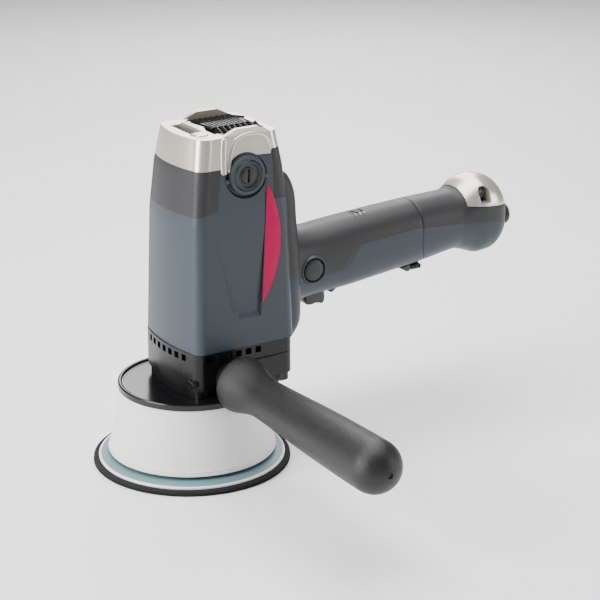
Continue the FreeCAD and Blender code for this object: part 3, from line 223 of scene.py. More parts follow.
# %% One finish
BUMP_DEPTH, COAT_ROUGHNESS = 0.0006, 0.12


def finish(name, tones, rough, metal=0.0, effect="grain", scale=1500.0, depth=0.05, drift=18.0,
           coat=0.0, specular=0.5):
    material = bpy.data.materials.new(name)
    material.use_nodes = True
    tree = material.node_tree
    shader = tree.nodes["Principled BSDF"]
    source = tree.nodes.new("ShaderNodeGroup")
    source.node_tree = EFFECTS[effect]
    source.inputs[0].default_value = scale
    source.inputs[1].default_value = drift
    tint = tree.nodes.new("ShaderNodeMix")
    tint.data_type = "RGBA"
    tint.inputs["A"].default_value = (*tones[0], 1)
    tint.inputs["B"].default_value = (*tones[1], 1)
    spread = tree.nodes.new("ShaderNodeMapRange")
    spread.inputs["From Min"].default_value = 0.3
    spread.inputs["From Max"].default_value = 0.7
    spread.inputs["To Min"].default_value, spread.inputs["To Max"].default_value = rough
    bump = tree.nodes.new("ShaderNodeBump")
    bump.inputs["Strength"].default_value = depth
    bump.inputs["Distance"].default_value = BUMP_DEPTH
    tree.links.new(source.outputs["Tone"], tint.inputs["Factor"])
    tree.links.new(source.outputs["Tone"], spread.inputs["Value"])
    tree.links.new(source.outputs["Height"], bump.inputs["Height"])
    tree.links.new(tint.outputs["Result"], shader.inputs["Base Color"])
    tree.links.new(spread.outputs["Result"], shader.inputs["Roughness"])
    tree.links.new(bump.outputs["Normal"], shader.inputs["Normal"])
    shader.inputs["Metallic"].default_value = metal
    shader.inputs["Coat Weight"].default_value = coat
    shader.inputs["Coat Roughness"].default_value = COAT_ROUGHNESS
    shader.inputs["Specular IOR Level"].default_value = specular
    return material


# %% Finishes, from a table of a maker's words
SLATE = ((0.028, 0.039, 0.050), (0.034, 0.046, 0.058))
CHARCOAL = ((0.020, 0.020, 0.0215), (0.026, 0.026, 0.0275))
CHAMPAGNE = ((0.62, 0.57, 0.49), (0.70, 0.65, 0.57))
BLACK = ((0.003, 0.003, 0.0035), (0.006, 0.006, 0.0065))
looks = {
    "body_slate": finish("Slate moulding", SLATE, (0.40, 0.47), scale=1800, depth=0.05, specular=0.35),
    "body_charcoal": finish("Charcoal soft touch", CHARCOAL, (0.42, 0.50), scale=2200, depth=0.06,
                            specular=0.35),
    "cap_champagne": finish("Champagne paint", CHAMPAGNE, (0.27, 0.34), metal=0.75, scale=4200, depth=0.02,
                            coat=0.25),
    "grille_black": finish("Grille black", BLACK, (0.30, 0.38), scale=1600, depth=0.03, specular=0.25),
    "stripe_magenta": finish("Magenta lens", ((0.40, 0.0005, 0.060), (0.45, 0.001, 0.070)), (0.30, 0.36),
                             scale=900, depth=0.01, specular=0.12),
    "brush_cap_black": finish("Brush cap black", BLACK, (0.30, 0.40), scale=1500, depth=0.06),
    "control_black": finish("Control black", ((0.006, 0.006, 0.0065), (0.011, 0.011, 0.0115)), (0.32, 0.42),
                            scale=1700, depth=0.05),
    "case_black": finish("Case casting enamel", ((0.004, 0.004, 0.0045), (0.008, 0.008, 0.0085)),
                         (0.24, 0.40), scale=520, depth=0.05, drift=70, specular=0.28),
    "dish_black": finish("Dish gloss black", BLACK, (0.16, 0.26), scale=400, depth=0.03, specular=0.4),
    "skirt_white": finish("Skirt white rubber", ((0.70, 0.70, 0.69), (0.76, 0.76, 0.75)), (0.42, 0.50),
                          scale=1200, depth=0.02, drift=9),
    "pad_blue": finish("Backing plate blue-green", ((0.11, 0.20, 0.22), (0.14, 0.24, 0.26)), (0.42, 0.50),
                       scale=1300, depth=0.03),
    # This white is a painted highlight on the backing plate's rim; the dial marks use the same white as real
    # print.
    "pad_edge_white": finish("Plate edge white", ((0.74, 0.77, 0.77), (0.80, 0.82, 0.82)), (0.40, 0.5),
                             scale=1300, depth=0.03),
    "hook_black": finish("Hook fibre black", ((0.006, 0.006, 0.0065), (0.024, 0.024, 0.0245)), (0.75, 0.95),
                         scale=1400, depth=0.9, drift=900, specular=0.2),
    "foam_black": finish("Foam black", ((0.02, 0.02, 0.022), (0.04, 0.04, 0.042)), (0.7, 0.9),
                         scale=1100, depth=0.5, drift=500),
    "grip_rubber": finish("Grip rubber", ((0.005, 0.005, 0.0052), (0.010, 0.010, 0.0103)), (0.40, 0.50),
                          scale=1700, depth=0.30, drift=420, specular=0.4),
    "steel": finish("Turned steel", ((0.48, 0.48, 0.49), (0.58, 0.58, 0.59)), (0.22, 0.34), metal=1.0,
                    effect="lines", scale=900, drift=0.6, depth=0.06),
    "stud_steel": finish("Stud steel", ((0.42, 0.42, 0.43), (0.52, 0.52, 0.53)), (0.28, 0.4), metal=1.0,
                         effect="lines", scale=420, drift=0.4, depth=0.25),
    "spring_steel": finish("Spring steel", ((0.36, 0.36, 0.38), (0.46, 0.46, 0.48)), (0.25, 0.35), metal=1.0,
                           effect="lines", scale=1500, drift=2, depth=0.05),
    "bearing_steel": finish("Bearing steel", ((0.52, 0.53, 0.55), (0.62, 0.63, 0.65)), (0.14, 0.24),
                            metal=1.0, effect="lines", scale=700, drift=0.5, depth=0.04),
    "screw_steel": finish("Blackened screw steel", ((0.10, 0.10, 0.105), (0.16, 0.16, 0.165)), (0.3, 0.42),
                          metal=0.9, scale=2500, depth=0.05),
    "cast_iron": finish("Cast iron", ((0.09, 0.09, 0.092), (0.14, 0.14, 0.142)), (0.5, 0.7), metal=0.8,
                        scale=900, depth=0.35, drift=200),
    "aluminium": finish("Cast aluminium", ((0.50, 0.50, 0.51), (0.60, 0.60, 0.61)), (0.38, 0.52), metal=1.0,
                        scale=1100, depth=0.2, drift=120),
    "laminations": finish("Stacked laminations", ((0.22, 0.22, 0.23), (0.32, 0.32, 0.33)), (0.35, 0.5),
                          metal=0.9, effect="lines", scale=620, drift=0.1, depth=0.6),
    "copper": finish("Enamelled copper", ((0.52, 0.20, 0.08), (0.62, 0.27, 0.12)), (0.24, 0.36), metal=1.0,
                     effect="lines", scale=500, drift=0.8, depth=0.7),
    "carbon": finish("Brush carbon", ((0.02, 0.02, 0.02), (0.035, 0.035, 0.035)), (0.6, 0.8),
                     scale=2600, depth=0.3),
    "fan_plastic": finish("Fan nylon", ((0.03, 0.03, 0.032), (0.045, 0.045, 0.047)), (0.4, 0.5),
                          scale=1500, depth=0.08),
    "board_green": finish("Board laminate", ((0.012, 0.11, 0.045), (0.02, 0.16, 0.07)), (0.3, 0.5),
                          scale=900, depth=0.1, drift=250, coat=0.3),
}
print(len(looks), "finishes")

# %% Every frame node takes the finish of its slot
for part in frame["record"]["subparts"]:
    holder = frame["nodes"][part["node"]]
    holder.data.materials.clear()
    holder.data.materials.append(looks[part["material_slot"]])
print("finishes assigned")

# %% [markdown]
# The pad, the backing plate, the splash skirt, the dish and the side grip are all turned shapes.
# Each could be a Screw modifier on a curve, but a closed loop of radius and height
# points turned in code keeps the wall, the beads and the rounded rims in one list.

# %% Turned pieces: the helper
def smooth_line(points, steps=6):
    """Catmull-Rom line through the points."""
    line = []
    last = len(points) - 1
    for i in range(last):
        a, b, c, d = (Vector(points[max(0, min(last, i + k))]) for k in (-1, 0, 1, 2))
        for step in range(steps):
            t = step / steps
            line.append(tuple(0.5 * (2 * b + (c - a) * t + (2 * a - 5 * b + 4 * c - d) * t * t
                                     + (3 * b - a - 3 * c + d) * t ** 3)))
    return line + [tuple(points[-1])]


def lathe(name, profile, centre=(0, 0, 0), axis="Z", turns=144):
    """Surface turned round an axis; profile is a closed loop of (radius, height)."""
    points, faces, count = [], [], len(profile)
    for step in range(turns):
        angle = 2 * math.pi * step / turns
        for radius, height in profile:
            a, b = radius * math.cos(angle), radius * math.sin(angle)
            spot = {"Z": (a, b, height), "Y": (a, height, b), "X": (height, a, b)}[axis]
            points.append([c + s for c, s in zip(centre, spot)])
    for step in range(turns):
        after = (step + 1) % turns
        for i in range(count):
            j = (i + 1) % count
            faces.append((step * count + i, after * count + i, after * count + j, step * count + j))
    return shape(name, points, faces)


def middle(node):
    low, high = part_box(node)
    return [(a + b) / 2 / MM for a, b in zip(low, high)]


pad_x, pad_y, _ = middle("hook_layer")
PAD = (pad_x, pad_y, 0)
print("pad centre", [round(v, 2) for v in PAD])

# %% Pad, plate, skirt and dish
hook = lathe("hook_disc", [(0, 0), (61.9, 0), (62.4, 0.3), (62.4, 1.0), (62.0, 1.2), (0, 1.2)], PAD)
hand_over(soften(hook, 0), "pad", "hook_black", "hook_layer")
foam = lathe("foam_disc", [(0, 1.2), (62.0, 1.2), (62.4, 1.6), (62.3, 2.4), (61.7, 3.0), (60.9, 3.2),
                           (0, 3.2)], PAD)
hand_over(soften(foam, 0), "pad", "hook_black", "foam_layer")
plate = lathe("plate_disc", [(0, 3.2), (57.9, 3.2), (58.1, 3.5), (58.1, 4.1), (57.6, 4.7), (56.9, 4.8),
                             (25, 4.8), (18, 10.6), (17, 11), (4, 11), (4, 5.5), (0, 5.5)], PAD)
hand_over(soften(plate, 0), "pad", "pad_blue", "backing_plate")
# The white bead round the plate's rim is a painted highlight, standing in for light caught on the plate
# edge.
edge = lathe("plate_edge_bead", [(57.6, 3.2), (58.9, 3.2), (59.0, 3.9), (58.7, 4.5), (58.1, 4.75),
                                 (57.6, 4.6)], PAD)
hand_over(soften(edge, 0), "pad", "pad_edge_white", "plate_edge_ring")

skirt_out = smooth_line([(51.9, 11.2), (50.9, 15), (49.5, 22), (47.8, 32), (46.3, 41), (45.4, 47.4)], 4)
lip = [(51.2, 6.8), (52.6, 6.8), (53.2, 7.1), (53.3, 7.8), (53.0, 8.6), (52.5, 8.9), (52.7, 9.2),
       (52.7, 9.9), (52.3, 10.5)]
skirt_in = [(r - 1.8, h) for r, h in reversed(skirt_out[:-1])]
skirt = lathe("skirt_shell", lip + skirt_out + [(40.5, 47.4), (40.5, 45.8), (43.4, 45.8)] + skirt_in)
hand_over(soften(skirt, 0), "housing", "skirt_white", "splash_skirt")
dish = lathe("dish_shell", [(9, 47.5), (45.7, 47.5), (46.2, 47.9), (46.2, 51.2), (45.9, 51.65),
                            (45.3, 51.8), (44.5, 51.75), (44.0, 51.4), (43.6, 50.6), (42.8, 50.15),
                            (41, 50.0), (9, 50.0)])
hand_over(soften(dish, 0), "housing", "dish_black", "shroud_dish")

# %% [markdown]
# The hook disc is woven, so its rim is a fringe of short stiff fibres.  Geometry Nodes scatter
# them over a ring with a fixed seed, lean each one a little at random, and keep each to six faces.

# %% Fringe of hook fibres
def fringe_tree():
    tree = bpy.data.node_groups.new("Fibre fringe", "GeometryNodeTree")
    tree.interface.new_socket("Geometry", in_out="INPUT", socket_type="NodeSocketGeometry")
    for label, kind in {"Radius": "NodeSocketFloat", "Band": "NodeSocketFloat", "Density": "NodeSocketFloat",
                        "Fibre": "NodeSocketFloat", "Finish": "NodeSocketMaterial"}.items():
        tree.interface.new_socket(label, in_out="INPUT", socket_type=kind)
    tree.interface.new_socket("Geometry", in_out="OUTPUT", socket_type="NodeSocketGeometry")
    into, out = tree.nodes.new("NodeGroupInput"), tree.nodes.new("NodeGroupOutput")
    ring = tree.nodes.new("GeometryNodeMeshCylinder")
    ring.fill_type = "NONE"
    ring.inputs["Vertices"].default_value = 96
    scatter = tree.nodes.new("GeometryNodeDistributePointsOnFaces")
    scatter.inputs["Seed"].default_value = 7
    fibre = tree.nodes.new("GeometryNodeMeshCone")
    fibre.inputs["Vertices"].default_value = 5
    fibre.inputs["Radius Top"].default_value = 0.00004
    fibre.inputs["Radius Bottom"].default_value = 0.00018
    sway = tree.nodes.new("FunctionNodeRandomValue")
    sway.data_type = "FLOAT_VECTOR"
    sway.inputs["Min"].default_value = (-0.7, -0.7, 0)
    sway.inputs["Max"].default_value = (0.7, 0.7, 3)
    sway.inputs["Seed"].default_value = 11
    lean = tree.nodes.new("FunctionNodeRotateEuler")
    lean.space = "LOCAL"
    put = tree.nodes.new("GeometryNodeInstanceOnPoints")
    real = tree.nodes.new("GeometryNodeRealizeInstances")
    paint = tree.nodes.new("GeometryNodeSetMaterial")
    for a, b in (((into, "Radius"), (ring, "Radius")), ((into, "Band"), (ring, "Depth")),
                 ((into, "Density"), (scatter, "Density")), ((into, "Fibre"), (fibre, "Depth")),
                 ((into, "Finish"), (paint, "Material")), ((ring, "Mesh"), (scatter, "Mesh")),
                 ((scatter, "Points"), (put, "Points")), ((scatter, "Rotation"), (lean, "Rotation")),
                 ((lean, "Rotation"), (put, "Rotation")), ((fibre, "Mesh"), (put, "Instance")),
                 ((put, "Instances"), (real, "Geometry")), ((real, "Geometry"), (paint, "Geometry")),
                 ((paint, "Geometry"), (out, "Geometry"))):
        tree.links.new(a[0].outputs[a[1]], b[0].inputs[b[1]])
    tree.links.new(sway.outputs[0], lean.inputs["Rotate By"])
    return tree


fringe = grown("hook_fringe", fringe_tree(), (PAD[0], PAD[1], 0.75), Radius=62.05 * MM, Band=0.7 * MM,
               Density=4.2e6, Fibre=0.55 * MM, Finish=looks["hook_black"])
hand_over(soften(fringe, 0), "pad", "hook_black")

# %% [markdown]
# The side grip is soft rubber moulded over a stud: a bell against the gear case, a waist, a
# long barrel that swells a little, and a ball end with a small moulding dimple.

# %% Side grip
grip_x, grip_z = middle("side_stud")[0], middle("side_stud")[2]
barrel = smooth_line([(16.9, -46.8), (17.7, -48.2), (17.6, -50.5), (16.9, -54), (15.5, -59), (14.0, -65),
                      (13.0, -71.5), (12.75, -78), (13.0, -87), (13.6, -103), (14.4, -121), (15.1, -140),
                      (15.6, -160), (15.9, -178), (16.0, -190)], 5)
ball = [(16 * math.cos(a), -192 - 16 * math.sin(a)) for a in (math.radians(7 * k) for k in range(12))]
tip = [(1.9, -207.9), (1.6, -207.6), (1.3, -206.9), (0, -206.8)]
side = lathe("side_grip_rubber", barrel + ball + tip + [(0, -75.2), (5.02, -75.2), (5.02, -46.8)],
             (grip_x, 0, grip_z), "Y")
hand_over(soften(side, 0), "side_grip", "grip_rubber", "side_grip")

# %% [markdown]
# The tower is already the right shape in the frame, but a frame mesh is loose triangles with
# knife edges.  A copy is merged, flat triangles are joined, details are cut, and every
# edge gets a small round, because it is the bright line along an edge that makes plastic look real.

# %% Dressed copies of frame nodes
def merged_copy(node, name, flat=0.4):
    source = frame["nodes"][node].data
    bm = bmesh.new()
    bm.from_mesh(source)
    bmesh.ops.remove_doubles(bm, verts=bm.verts, dist=0.000004)
    if flat:
        bmesh.ops.dissolve_limit(bm, angle_limit=math.radians(flat), verts=bm.verts, edges=bm.edges)
    mesh = bpy.data.meshes.new(name)
    bm.to_mesh(mesh)
    bm.free()
    thing = bpy.data.objects.new(name, mesh)
    bpy.context.scene.collection.objects.link(thing)
    return thing


def box_at(name, low, high):
    (a, b, c), (d, e, f) = low, high
    points = [(x, y, z) for x in (a, d) for y in (b, e) for z in (c, f)]
    return shape(name, points, [(0, 1, 3, 2), (4, 6, 7, 5), (0, 4, 5, 1), (2, 3, 7, 6), (0, 2, 6, 4),
                                (1, 5, 7, 3)])


def slab(name, outline, near, far, axis="Y"):
    """Prism of an outline: (x, z) pairs spread along Y, or (x, y) pairs spread along Z."""
    rings = [[(u, end, v) if axis == "Y" else (u, v, end) for u, v in outline] for end in (near, far)]
    return loft(name, rings)


TOP_Z, TOP_HALF = 212, 26.8


def side_y(z):
    """Half width of the tower's flat side at a height, as in the frame."""
    levels = [(79.5, 34.1), (160, 31.8), (190, 29.9), (TOP_Z, TOP_HALF)]
    for (z0, w0), (z1, w1) in zip(levels, levels[1:]):
        if z <= z1 or z1 == TOP_Z:
            return w0 + (w1 - w0) * (z - z0) / (z1 - z0)


MOTOR_X, BRUSH_Z = middle("brush_cap_left")[0], middle("brush_cap_left")[2]
print("brush axis at", round(MOTOR_X, 2), round(BRUSH_Z, 2))

# %% [markdown]
# On each side of the tower a shallow panel sinks in towards the bottom, with a wide chamfer in
# the shape of a V, and a trough runs round the brush boss.  Both are cut with the
# Exact Boolean, from cutters that follow the slope of the side.

# %% Tower side panel and brush trough
PANEL_DEPTH, PANEL_TOP, PANEL_FADE = 2.2, 152, 30


def panel_cutter(sign):
    rim = [(-1.5, 150), (4.5, 124), (10.5, 103), (12.5, 99.5), (15.5, 98), (31.7, 97.2), (35.5, 150)]
    floor = [(1.5, 150), (7.6, 124), (13.9, 104.8), (15.8, 101.9), (18.0, 100.9), (31.5, 100.1),
             (35.3, 150)]
    outer = [(x, sign * (side_y(z) + 0.15), z) for x, z in rim]
    inner = [(x, sign * (side_y(z) + 0.10 - PANEL_DEPTH * min(1, (PANEL_TOP - z) / PANEL_FADE)), z)
             for x, z in floor]
    return loft("panel_cutter", [outer, inner])


def trough_cutter(sign):
    ring = [(12.0, 36), (14.6, 36), (14.6, 30.2), (13.4, 28.4), (12.0, 28.4)]
    return lathe("trough_cutter", [(r, sign * y) for r, y in ring], (MOTOR_X, 0, BRUSH_Z), "Y", 72)


tower = merged_copy("motor_housing", "tower_shell")
carve(tower, panel_cutter(-1), panel_cutter(1), trough_cutter(-1), trough_cutter(1))
hand_over(soften(tower, 0.3, 24, smooth=24, even=True), "housing", "body_slate", "motor_housing")
for node, name in (("front_band", "front_band_shell"), ("rear_band", "rear_band_shell")):
    hand_over(soften(merged_copy(node, name), 0.5, 30, even=True), "housing",
              "body_charcoal", node)
lens = merged_copy("accent_stripe", "stripe_lens")
hand_over(soften(lens, 0.12, 30), "housing", "stripe_magenta", "accent_stripe")

# %% [markdown]
# A fine dark shadow line stands along the straight edge of each stripe, and two short ears hold
# the brush boss to the side.  The raised ring of the boss is turned with a rounded face.

# %% Stripe line, boss ring and ears
SHADOW_LINE = [(32.1, 106), (36.1, 160), (37.2, 176)]
BOSS_FACE = 32.6
BOSS_PROFILE = [(9.9, 5), (11.7, 5), (11.9, 0.9), (11.5, 0.2), (10.9, 0), (10.3, 0.2), (9.9, 0.8)]


def along_side(name, line, width, proud, sign):
    """Thin strip laid on the tower's side along a line of (x, z) points."""
    left = [(x - width / 2, z) for x, z in line]
    right = [(x + width / 2, z) for x, z in reversed(line)]
    outline = left + right
    skin = [(x, sign * (side_y(z) + proud), z) for x, z in outline]
    root = [(x, sign * (side_y(z) - 0.8), z) for x, z in outline]
    return loft(name, [skin, root])


for sign, side_name in SIDES:
    shadow = along_side("stripe_shadow_" + side_name, SHADOW_LINE, 0.6, 0.12, sign)
    hand_over(soften(shadow, 0.1), "housing", "grille_black")
    face = BOSS_FACE * sign
    boss = lathe("boss_ring_" + side_name, [(r, face - depth * sign) for r, depth in BOSS_PROFILE],
                 (MOTOR_X, 0, BRUSH_Z), "Y", 96)
    hand_over(soften(boss, 0), "housing", "body_slate")
    for x in (MOTOR_X - 14.6, MOTOR_X + 11.2):
        near, far = sorted((sign * 28.6, sign * 31.4))
        ear = box_at("boss_ear_%s_%d" % (side_name, x), (x, near, BRUSH_Z - 3.4),
                     (x + 3.4, far, BRUSH_Z - 1.2))
        hand_over(soften(ear, 0.5), "housing", "body_slate")

# %% [markdown]
# The top cap is painted to look like light metal.  On the real tool it carries a round
# upright fin beside each brush boss, an arched brow over the boss, and a bridge between the front
# window and the air grille.  They are separate pieces that share the cap's finish.

# %% Rounded rib on the side
END_TAPER, SUNK = 0.35, 0.6


def tube_along(name, line, across, out, sign):
    """Rounded rib on the tower's side through (x, z) points, across wide and out proud."""
    rings, corners = [], 10
    spots = [Vector(p) for p in line]
    for i, spot in enumerate(spots):
        ahead = spots[min(i + 1, len(spots) - 1)] - spots[max(i - 1, 0)]
        normal = Vector((-ahead.y, ahead.x)).normalized()
        taper = END_TAPER if i in (0, len(spots) - 1) else 1.0
        ring = []
        for k in range(corners):
            angle = 2 * math.pi * k / corners
            u = spot + normal * (across / 2 * taper * math.cos(angle))
            base = min(side_y(u.y), 31.5) if u.y < TOP_Z else TOP_HALF - (u.y - TOP_Z) * 0.1
            ring.append((u.x, sign * (base - SUNK + (out + SUNK) * taper * math.sin(angle)), u.y))
        rings.append(ring)
    return loft(name, rings)


# %% Top cap with its fins, brows and bridge
cap = merged_copy("top_cap", "cap_shell")
carve(cap, slab("room", [(12.6, -23.2), (30, -23.4), (43.6, -22.4), (43.6, 22.4), (30, 23.4), (12.6, 23.2)],
                206.6, 222, "Z"))
hand_over(soften(cap, 0.7, 28, 3, even=True), "housing", "cap_champagne", "top_cap")
for sign, side_name in SIDES:
    fin_line = smooth_line([(8.6, 190.2), (8.9, 196), (9.6, 204), (10.9, 212.0)], 5)
    fin = tube_along("cap_fin_" + side_name, fin_line, 4.6, 1.5, sign)
    hand_over(soften(fin, 0, smooth=60), "housing", "cap_champagne")
    arch = smooth_line([(12.2, 190.6), (13.6, 199), (16.9, 207.4), (20.5, 210.6), (28, 212.2), (36, 211.3),
                        (40.4, 207.5), (42.6, 200.6)], 5)
    brow = tube_along("cap_brow_" + side_name, arch, 2.6, 0.9, sign)
    hand_over(soften(brow, 0, smooth=60), "housing", "cap_champagne")

bridge = slab("cap_bridge", [(5.4, 17.5), (10.2, 17.5), (12.6, 0), (5.5, -17.6), (-1.5, -17.8), (-3.4, -9.2),
                             (5.6, -8.4)], 206.0, 212.9, "Z")
hand_over(soften(bridge, 1.1, 28, 3), "housing", "cap_champagne")

# %% [markdown]
# The air grille repeats one slat many times, so Geometry Nodes make it: a line of points, a bar
# on each point, a lean and a slope.  The same tree makes the ribs of the latch and the dial
# marks.  It ends in Realize Instances and Set Material, and only its result is kept.

# %% A node tree for rows of bars
def bar_row_tree():
    tree = bpy.data.node_groups.new("Row of bars", "GeometryNodeTree")
    tree.interface.new_socket("Geometry", in_out="INPUT", socket_type="NodeSocketGeometry")
    kinds = {"Count": "NodeSocketInt", "Pitch": "NodeSocketVector", "Bar": "NodeSocketVector",
             "Turn": "NodeSocketVector", "Finish": "NodeSocketMaterial"}
    for label, kind in kinds.items():
        tree.interface.new_socket(label, in_out="INPUT", socket_type=kind)
    tree.interface.new_socket("Geometry", in_out="OUTPUT", socket_type="NodeSocketGeometry")
    into, out = tree.nodes.new("NodeGroupInput"), tree.nodes.new("NodeGroupOutput")
    line = tree.nodes.new("GeometryNodeMeshLine")
    bar = tree.nodes.new("GeometryNodeMeshCube")
    put = tree.nodes.new("GeometryNodeInstanceOnPoints")
    real = tree.nodes.new("GeometryNodeRealizeInstances")
    paint = tree.nodes.new("GeometryNodeSetMaterial")
    for label, node, socket in (("Count", line, "Count"), ("Pitch", line, "Offset"), ("Bar", bar, "Size"),
                                ("Turn", put, "Rotation"), ("Finish", paint, "Material")):
        tree.links.new(into.outputs[label], node.inputs[socket])
    tree.links.new(line.outputs["Mesh"], put.inputs["Points"])
    tree.links.new(bar.outputs["Mesh"], put.inputs["Instance"])
    tree.links.new(put.outputs["Instances"], real.inputs["Geometry"])
    tree.links.new(real.outputs["Geometry"], paint.inputs["Geometry"])
    tree.links.new(paint.outputs["Geometry"], out.inputs["Geometry"])
    return tree


def mm(*numbers):
    return [n * MM for n in numbers]


BARS = bar_row_tree()
print("node tree", BARS.name)

# %% Air grille
roof = slab("grille_bed", [(-1.8, -17.5), (12.8, -17.5), (12.8, -22.9), (43.4, -22.2), (43.4, 22.2),
                           (12.8, 22.9), (12.8, 17.5), (-1.8, 17.5)], 204.8, 207.4, "Z")
hand_over(soften(roof, 0.3), "housing", "grille_black", "vent_grille")
spine = slab("grille_spine", [(12.2, 6.4), (14.5, -6.4), (40, -5.4), (42.5, 5.4)], 206.0, 213.4, "Z")
hand_over(soften(spine, 0.8, segments=3), "housing", "grille_black")
for sign, side_name in ((-1, "near"), (1, "far")):
    slats = grown("grille_slats_" + side_name, BARS, (14.6, sign * 14.2, 210.6), Count=8,
                  Pitch=mm(3.9, 0, 0), Bar=mm(1.2, 16.6, 5.0), Turn=(sign * -0.16, 0.55, sign * 0.10),
                  Finish=looks["grille_black"])
    hand_over(soften(slats, 0.25), "housing", "grille_black")
for row in range(4):
    beads = grown("grille_beads_%d" % row, BARS, (15.5, row * 2.6 - 3.9, 213.35), Count=10,
                  Pitch=mm(2.5, 0.12, 0), Bar=mm(1.0, 1.5, 0.9), Turn=(0, 0, 0.5),
                  Finish=looks["grille_black"])
    hand_over(soften(beads, 0.2), "housing", "grille_black")

# %% [markdown]
# Behind the front window a small light bar sits in the dark.  A smoked plastic bar with a soft
# edge is enough; nothing glows.

# %% Light bar in the front window
light_bar = box_at("window_bar", (2.2, -6.5, 208.0), (4.8, 14.5, 210.4))
hand_over(soften(light_bar, 0.6, segments=3), "housing", "body_charcoal")
window_lip = slab("window_lip", [(-3.6, -8.6), (-1.9, -8.6), (-1.9, 15.8), (-3.6, 15.8)], 209.0, 211.9, "Z")
hand_over(soften(window_lip, 0.5), "housing", "cap_champagne")

# %% [markdown]
# The rear handle is one flowing bar that two mouldings, a pull-off grip and a bright end cap
# share.  Its section is a rounded rectangle whose size changes along the bar, so it is built from
# closely spaced sections.  Each section is sampled in bands that meet exactly on the
# parting lines, and each moulding takes the bands that belong to it.

# %% Handle sections
# Each station is (x, middle height, half height, half width).
STATIONS = [(62, 114.2, 25.2, 22.4), (70, 114.4, 23.9, 20.9), (84, 115, 22.8, 20.1), (98, 116, 22.9, 19.8),
            (112, 116.9, 23, 19.6), (130, 118.4, 22.6, 19.4), (150, 120, 22, 19.2),
            (176, 122.1, 20.9, 19.05), (196, 123.8, 19.9, 19), (201, 124.3, 21, 19.4),
            (207, 125.5, 23.9, 20), (213, 125.2, 26, 20.8), (217, 125.1, 26.5, 21), (226, 124.8, 25, 20.2),
            (232.5, 124.2, 20, 17), (237, 123, 14, 12.5), (239.4, 121.5, 9.5, 8.5)]
END_CAP_X, PARTING_Z, ROW_STEP = 201, 110.4, 2.0
SPLIT = [(0, PARTING_Z), (102.6, PARTING_Z), (114, 124.5), (161, 127.9), (259.5, 119.5)]
CAP_LINE = [(0, 135.6), (201, 135.6), (240, 131.9), (260, 129.4)]


def between(line, x):
    for (x0, z0), (x1, z1) in zip(line, line[1:]):
        if x <= x1:
            return z0 + (z1 - z0) * (x - x0) / (x1 - x0)
    return line[-1][1]


STATION_LINE = smooth_line([(s[0], s[1], s[2]) for s in STATIONS], 8)
WIDTH_LINE = smooth_line([(s[0], s[3]) for s in STATIONS], 8)


def section(x):
    mid = between([(p[0], p[1]) for p in STATION_LINE], x)
    high = between([(p[0], p[2]) for p in STATION_LINE], x)
    return mid, high, between(WIDTH_LINE, x)


def half_outline(x):
    """Right half of a section as dense (y, z) points from the bottom to the top."""
    mid, high, wide = section(x)
    turn = 0.9 * min(high, wide)
    low = [(wide - turn + turn * math.sin(a), -high + turn - turn * math.cos(a))
           for a in (math.radians(3 * k) for k in range(31))]
    side = [(0, -high)] + low + [(y, -z) for y, z in reversed(low)] + [(0, high)]
    return [(y, mid + z) for y, z in side]


def walk(line, heights, counts):
    """Points spread evenly along a rising line in bands that end at the given heights."""
    lengths = [0]
    for (y0, z0), (y1, z1) in zip(line, line[1:]):
        lengths.append(lengths[-1] + math.hypot(y1 - y0, z1 - z0))
    stops = [0]
    for height in heights:
        stop = next(i for i in range(1, len(line)) if line[i][1] >= height - 1e-9)
        share = (height - line[stop - 1][1]) / max(line[stop][1] - line[stop - 1][1], 1e-9)
        stops.append(lengths[stop - 1] + share * (lengths[stop] - lengths[stop - 1]))
    stops.append(lengths[-1])
    bands = []
    for a, b, count in zip(stops, stops[1:], counts):
        band = []
        for k in range(count + 1):
            want = a + (b - a) * k / count
            i = next((i for i in range(1, len(lengths)) if lengths[i] >= want - 1e-9), len(lengths) - 1)
            share = (want - lengths[i - 1]) / max(lengths[i] - lengths[i - 1], 1e-9)
            band.append(tuple(p + share * (q - p) for p, q in zip(line[i - 1], line[i])))
        bands.append(band)
    return bands


def handle_rows(start, end):
    """Every section between two places, as three bands of (y, z) points with their place."""
    stops = sorted({start, end} | {x for x in (102.6, 108, 114, 161, END_CAP_X) if start < x < end})
    places = []
    for a, b in zip(stops, stops[1:]):
        count = max(1, round((b - a) / ROW_STEP))
        places += [a + (b - a) * k / count for k in range(count)]
    rows = []
    for x in places + [end]:
        mid, high, _ = section(x)
        top = mid + high
        cap_z = min(between(CAP_LINE, x), top - 0.6)
        rows.append((x, walk(half_outline(x), [min(between(SPLIT, x), cap_z - 2), cap_z], (12, 8, 8))))
    return rows


SEAM_X, SEAM_REACH = 169, 14


def seam_shift(x, z):
    """Moves points near the parting line, which runs straight down the side and sweeps back underneath."""
    sweep = 7.5 * min(1.2, max(0, (118 - z) / 17)) ** 2 - 4.8
    return sweep * math.exp(-((x - SEAM_X) / SEAM_REACH) ** 2)


def handle_skin(name, rows, first, last, close_end):
    """Shell over bands first..last of the given sections, on both sides."""
    points, faces = [], []
    strips = []
    for x, bands in rows:
        run = [p for band in bands[first:last + 1] for p in (band if band is bands[first] else band[1:])]
        strips.append([(x, y, z) for y, z in run])
    for sign in (1, -1):
        base = len(points)
        count = len(strips[0])
        points += [(x + seam_shift(x, z), sign * y, z) for strip in strips for x, y, z in strip]
        for i in range(len(strips) - 1):
            for k in range(count - 1):
                a = base + i * count + k
                face = (a, a + 1, a + 1 + count, a + count)
                faces.append(face if sign > 0 else face[::-1])
    if close_end:
        end = len(points) // 2 - count
        right = [end + k for k in range(count)]
        left = [len(points) // 2 + i for i in right]
        faces += [(right[k], right[k + 1], left[k + 1], left[k]) for k in range(count - 1)]
    return shape(name, points, faces)


def walled(thing, thick=2.0):
    wall = thing.modifiers.new("Wall", "SOLIDIFY")
    wall.thickness = thick * MM
    wall.offset = -1
    return settle(thing)


